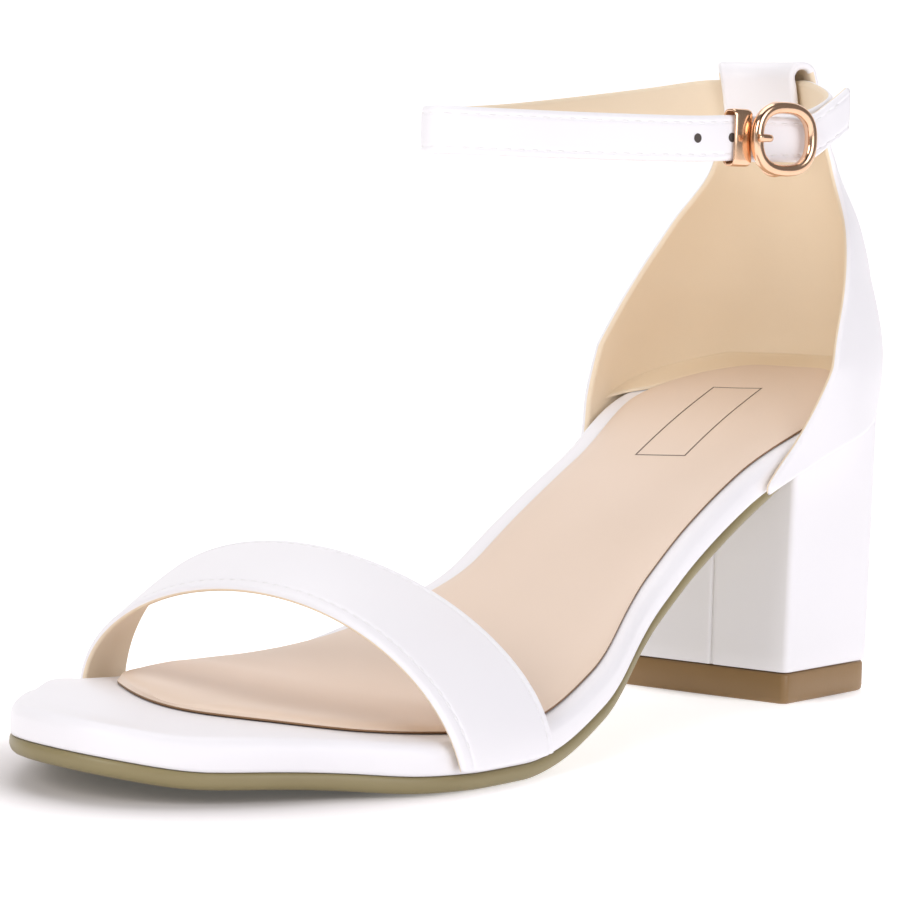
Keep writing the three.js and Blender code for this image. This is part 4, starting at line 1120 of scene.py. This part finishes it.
# The punched holes for the prong, in a row along the middle of the strap ahead of the buckle.
# None is cut for the prong: each is a small round patch on the leather, painted dark as painted shade
# of a hole's inside.
HOLE_RADIUS = 0.9
HOLE_SIDES = 32
HOLE_PROUD = 0.05
HOLE_PITCH = 8.4
FIRST_HOLE = -2.9
# Painted shade: this near-black colour stands for the shade down inside each punched hole
hole_painted_shade, _, _, _ = finish_of(
    "punched_hole_painted_shade", (0.1, 0.08, 0.07), (0.05, 0.04, 0.035), (0.6, 0.8), 800, 0.00002
)
middle_column = int(np.argmin(np.abs(places - STRAP_WIDTH / 2)))
hole_lift = STRAP_WALL / 2 + (relief + puff)[middle_column] + HOLE_PROUD
outer_run = grid[-90:, middle_column]
outer_normals = normals[-90:, middle_column]
run_along = (outer_run - BUCKLE_CENTRE) @ BUCKLE_ALONG
for step in (1, 2):
    row = int(np.argmin(np.abs(run_along - (FIRST_HOLE - step * HOLE_PITCH))))
    up_there = outer_normals[row]
    forward = outer_run[row + 1] - outer_run[row - 1]
    forward /= np.linalg.norm(forward)
    across_strap = np.cross(up_there, forward)
    centre = outer_run[row] + up_there * hole_lift
    hole_points = [centre]
    for a in np.linspace(0, 2 * np.pi, HOLE_SIDES + 1)[:-1]:
        spoke = math.cos(a) * forward + math.sin(a) * across_strap
        hole_points.append(centre + spoke * HOLE_RADIUS)
    hole_faces = [(0, 1 + i, 1 + (i + 1) % HOLE_SIDES) for i in range(HOLE_SIDES)]
    make_piece(f"strap_hole_shade_disc_{step}", hole_points, hole_faces, [hole_painted_shade])

# The buckle: a polished rose-gold oval ring with a bar behind the strap, its prong through the
# strap and over the ring, and a flat metal loop ahead of it that keeps the strap down.
gold = bpy.data.materials.new("rose_gold")
gold.use_nodes = True
gold_tree = gold.node_tree
gold_shader = gold_tree.nodes["Principled BSDF"]
gold_shader.inputs["Metallic"].default_value = 1
gold_grain = add_node(gold_tree, "ShaderNodeGroup", {"node_tree": grain})
gold_grain.inputs["Scale"].default_value = 900
gold_grain.inputs["Cloud Scale"].default_value = 260
gold_grain.inputs["Cells"].default_value = 0
gold_tone = add_node(gold_tree, "ShaderNodeMix", {"data_type": "RGBA"}, _0=gold_grain.outputs["Tone"])
gold_tone.inputs[6].default_value = (0.87, 0.6, 0.42, 1)
gold_tone.inputs[7].default_value = (0.78, 0.5, 0.32, 1)
gold_tree.links.new(gold_tone.outputs[2], gold_shader.inputs["Base Color"])
gold_gloss = add_node(
    gold_tree, "ShaderNodeMapRange", {3: 0.1, 4: 0.22}, _0=gold_grain.outputs["Tone"]
)
gold_tree.links.new(gold_gloss.outputs[0], gold_shader.inputs["Roughness"])


def wire(name, path, wide, half_wide, half_thick, closed=False, square=1.0):
    """Metal wire along a path; wide is the direction of its wider side, constant along it."""
    count = len(path)
    if closed:
        along = np.roll(path, -1, axis=0) - np.roll(path, 1, axis=0)
    else:
        along = np.gradient(path, axis=0)
    along /= np.linalg.norm(along, axis=1, keepdims=True)
    thin = np.cross(along, wide)
    thin /= np.linalg.norm(thin, axis=1, keepdims=True)
    angles = np.linspace(0, 2 * np.pi, 25)[:-1]
    bend = lambda v: np.sign(v) * np.abs(v) ** square
    rings = [
        path + wide * half_wide * bend(math.cos(a)) + thin * half_thick * bend(math.sin(a))
        for a in angles
    ]
    loops = np.stack(rings, 1)
    size = len(angles)
    faces = tube_faces(count, size, closed)
    if not closed:
        faces.append(tuple(range(size))[::-1])
        faces.append(tuple((count - 1) * size + j for j in range(size)))
    return make_piece(name, loops.reshape(-1, 3), faces, [gold], None)


# The ring stands off the strap far enough to clear the keeper, and the prong clears the ring
RING_STANDOFF = 0.8
RING_DEPTH = STRAP_WALL / 2 + FIT_GAP + BUCKLE_WIRE + RING_STANDOFF
half_length = BUCKLE_LENGTH / 2 - BUCKLE_WIRE
half_height = BUCKLE_HEIGHT / 2 - BUCKLE_WIRE
angles = np.linspace(0, 2 * np.pi, 97)[:-1]
soften = lambda v: np.sign(v) * np.abs(v) ** 0.8
oval = [
    at_buckle(half_length * soften(math.cos(a)), RING_DEPTH, half_height * soften(math.sin(a)))
    for a in angles
]
ring = wire("buckle_ring", np.array(oval), BUCKLE_OUT, 1.2, 1.15, True, 0.85)
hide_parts("buckle_frame")
bar_points = [
    (RING_DEPTH, half_height), (0, half_height + 0.3), (0.2 - BAR_DEPTH, half_height - 0.7),
    (-BAR_DEPTH, half_height - 2.4), (-BAR_DEPTH, 0), (-BAR_DEPTH, 2.4 - half_height),
    (0.2 - BAR_DEPTH, 0.7 - half_height), (0, -half_height - 0.3), (RING_DEPTH, -half_height),
]
wire(
    "buckle_bar", smooth_path([at_buckle(0, out, up) for out, up in bar_points], 6),
    BUCKLE_ALONG, 0.95, 0.95,
)
PRONG_STANDOFF = 0.8
over = RING_DEPTH + BUCKLE_WIRE + PRONG_STANDOFF
prong_points = [
    (-2.0, -BAR_DEPTH), (FIRST_HOLE - 0.1, -0.4), (FIRST_HOLE - 0.8, 1.9),
    (1.8 - half_length, over - 0.3), (-half_length, over + 0.1),
    (-half_length - 1.2, over),
]
prong = wire(
    "buckle_tongue", smooth_path([at_buckle(a, out, 0) for a, out in prong_points], 8),
    UP, 0.72, 0.6,
)
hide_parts("buckle_prong")
KEEPER_PLACE = -BUCKLE_LENGTH / 2 - 1.0
keeper_depth = STRAP_WALL / 2 + 0.6
keeper_height = STRAP_WIDTH / 2 + 0.85
keeper_loop = []
for start, out, up in ((0, 1, 1), (90, -1, 1), (180, -1, -1), (270, 1, -1)):
    for angle in np.radians(start + np.linspace(0, 90, 7)):
        keeper_loop.append(
            at_buckle(
                KEEPER_PLACE,
                out * (keeper_depth - 1.0) + math.cos(angle) + (0.1 * out if out > 0 else 0),
                up * (keeper_height - 1.0) + math.sin(angle),
            )
        )
keeper = wire("strap_keeper_loop", np.array(keeper_loop), BUCKLE_ALONG, 2.2, 0.34, True, 0.6)
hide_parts("strap_keeper")
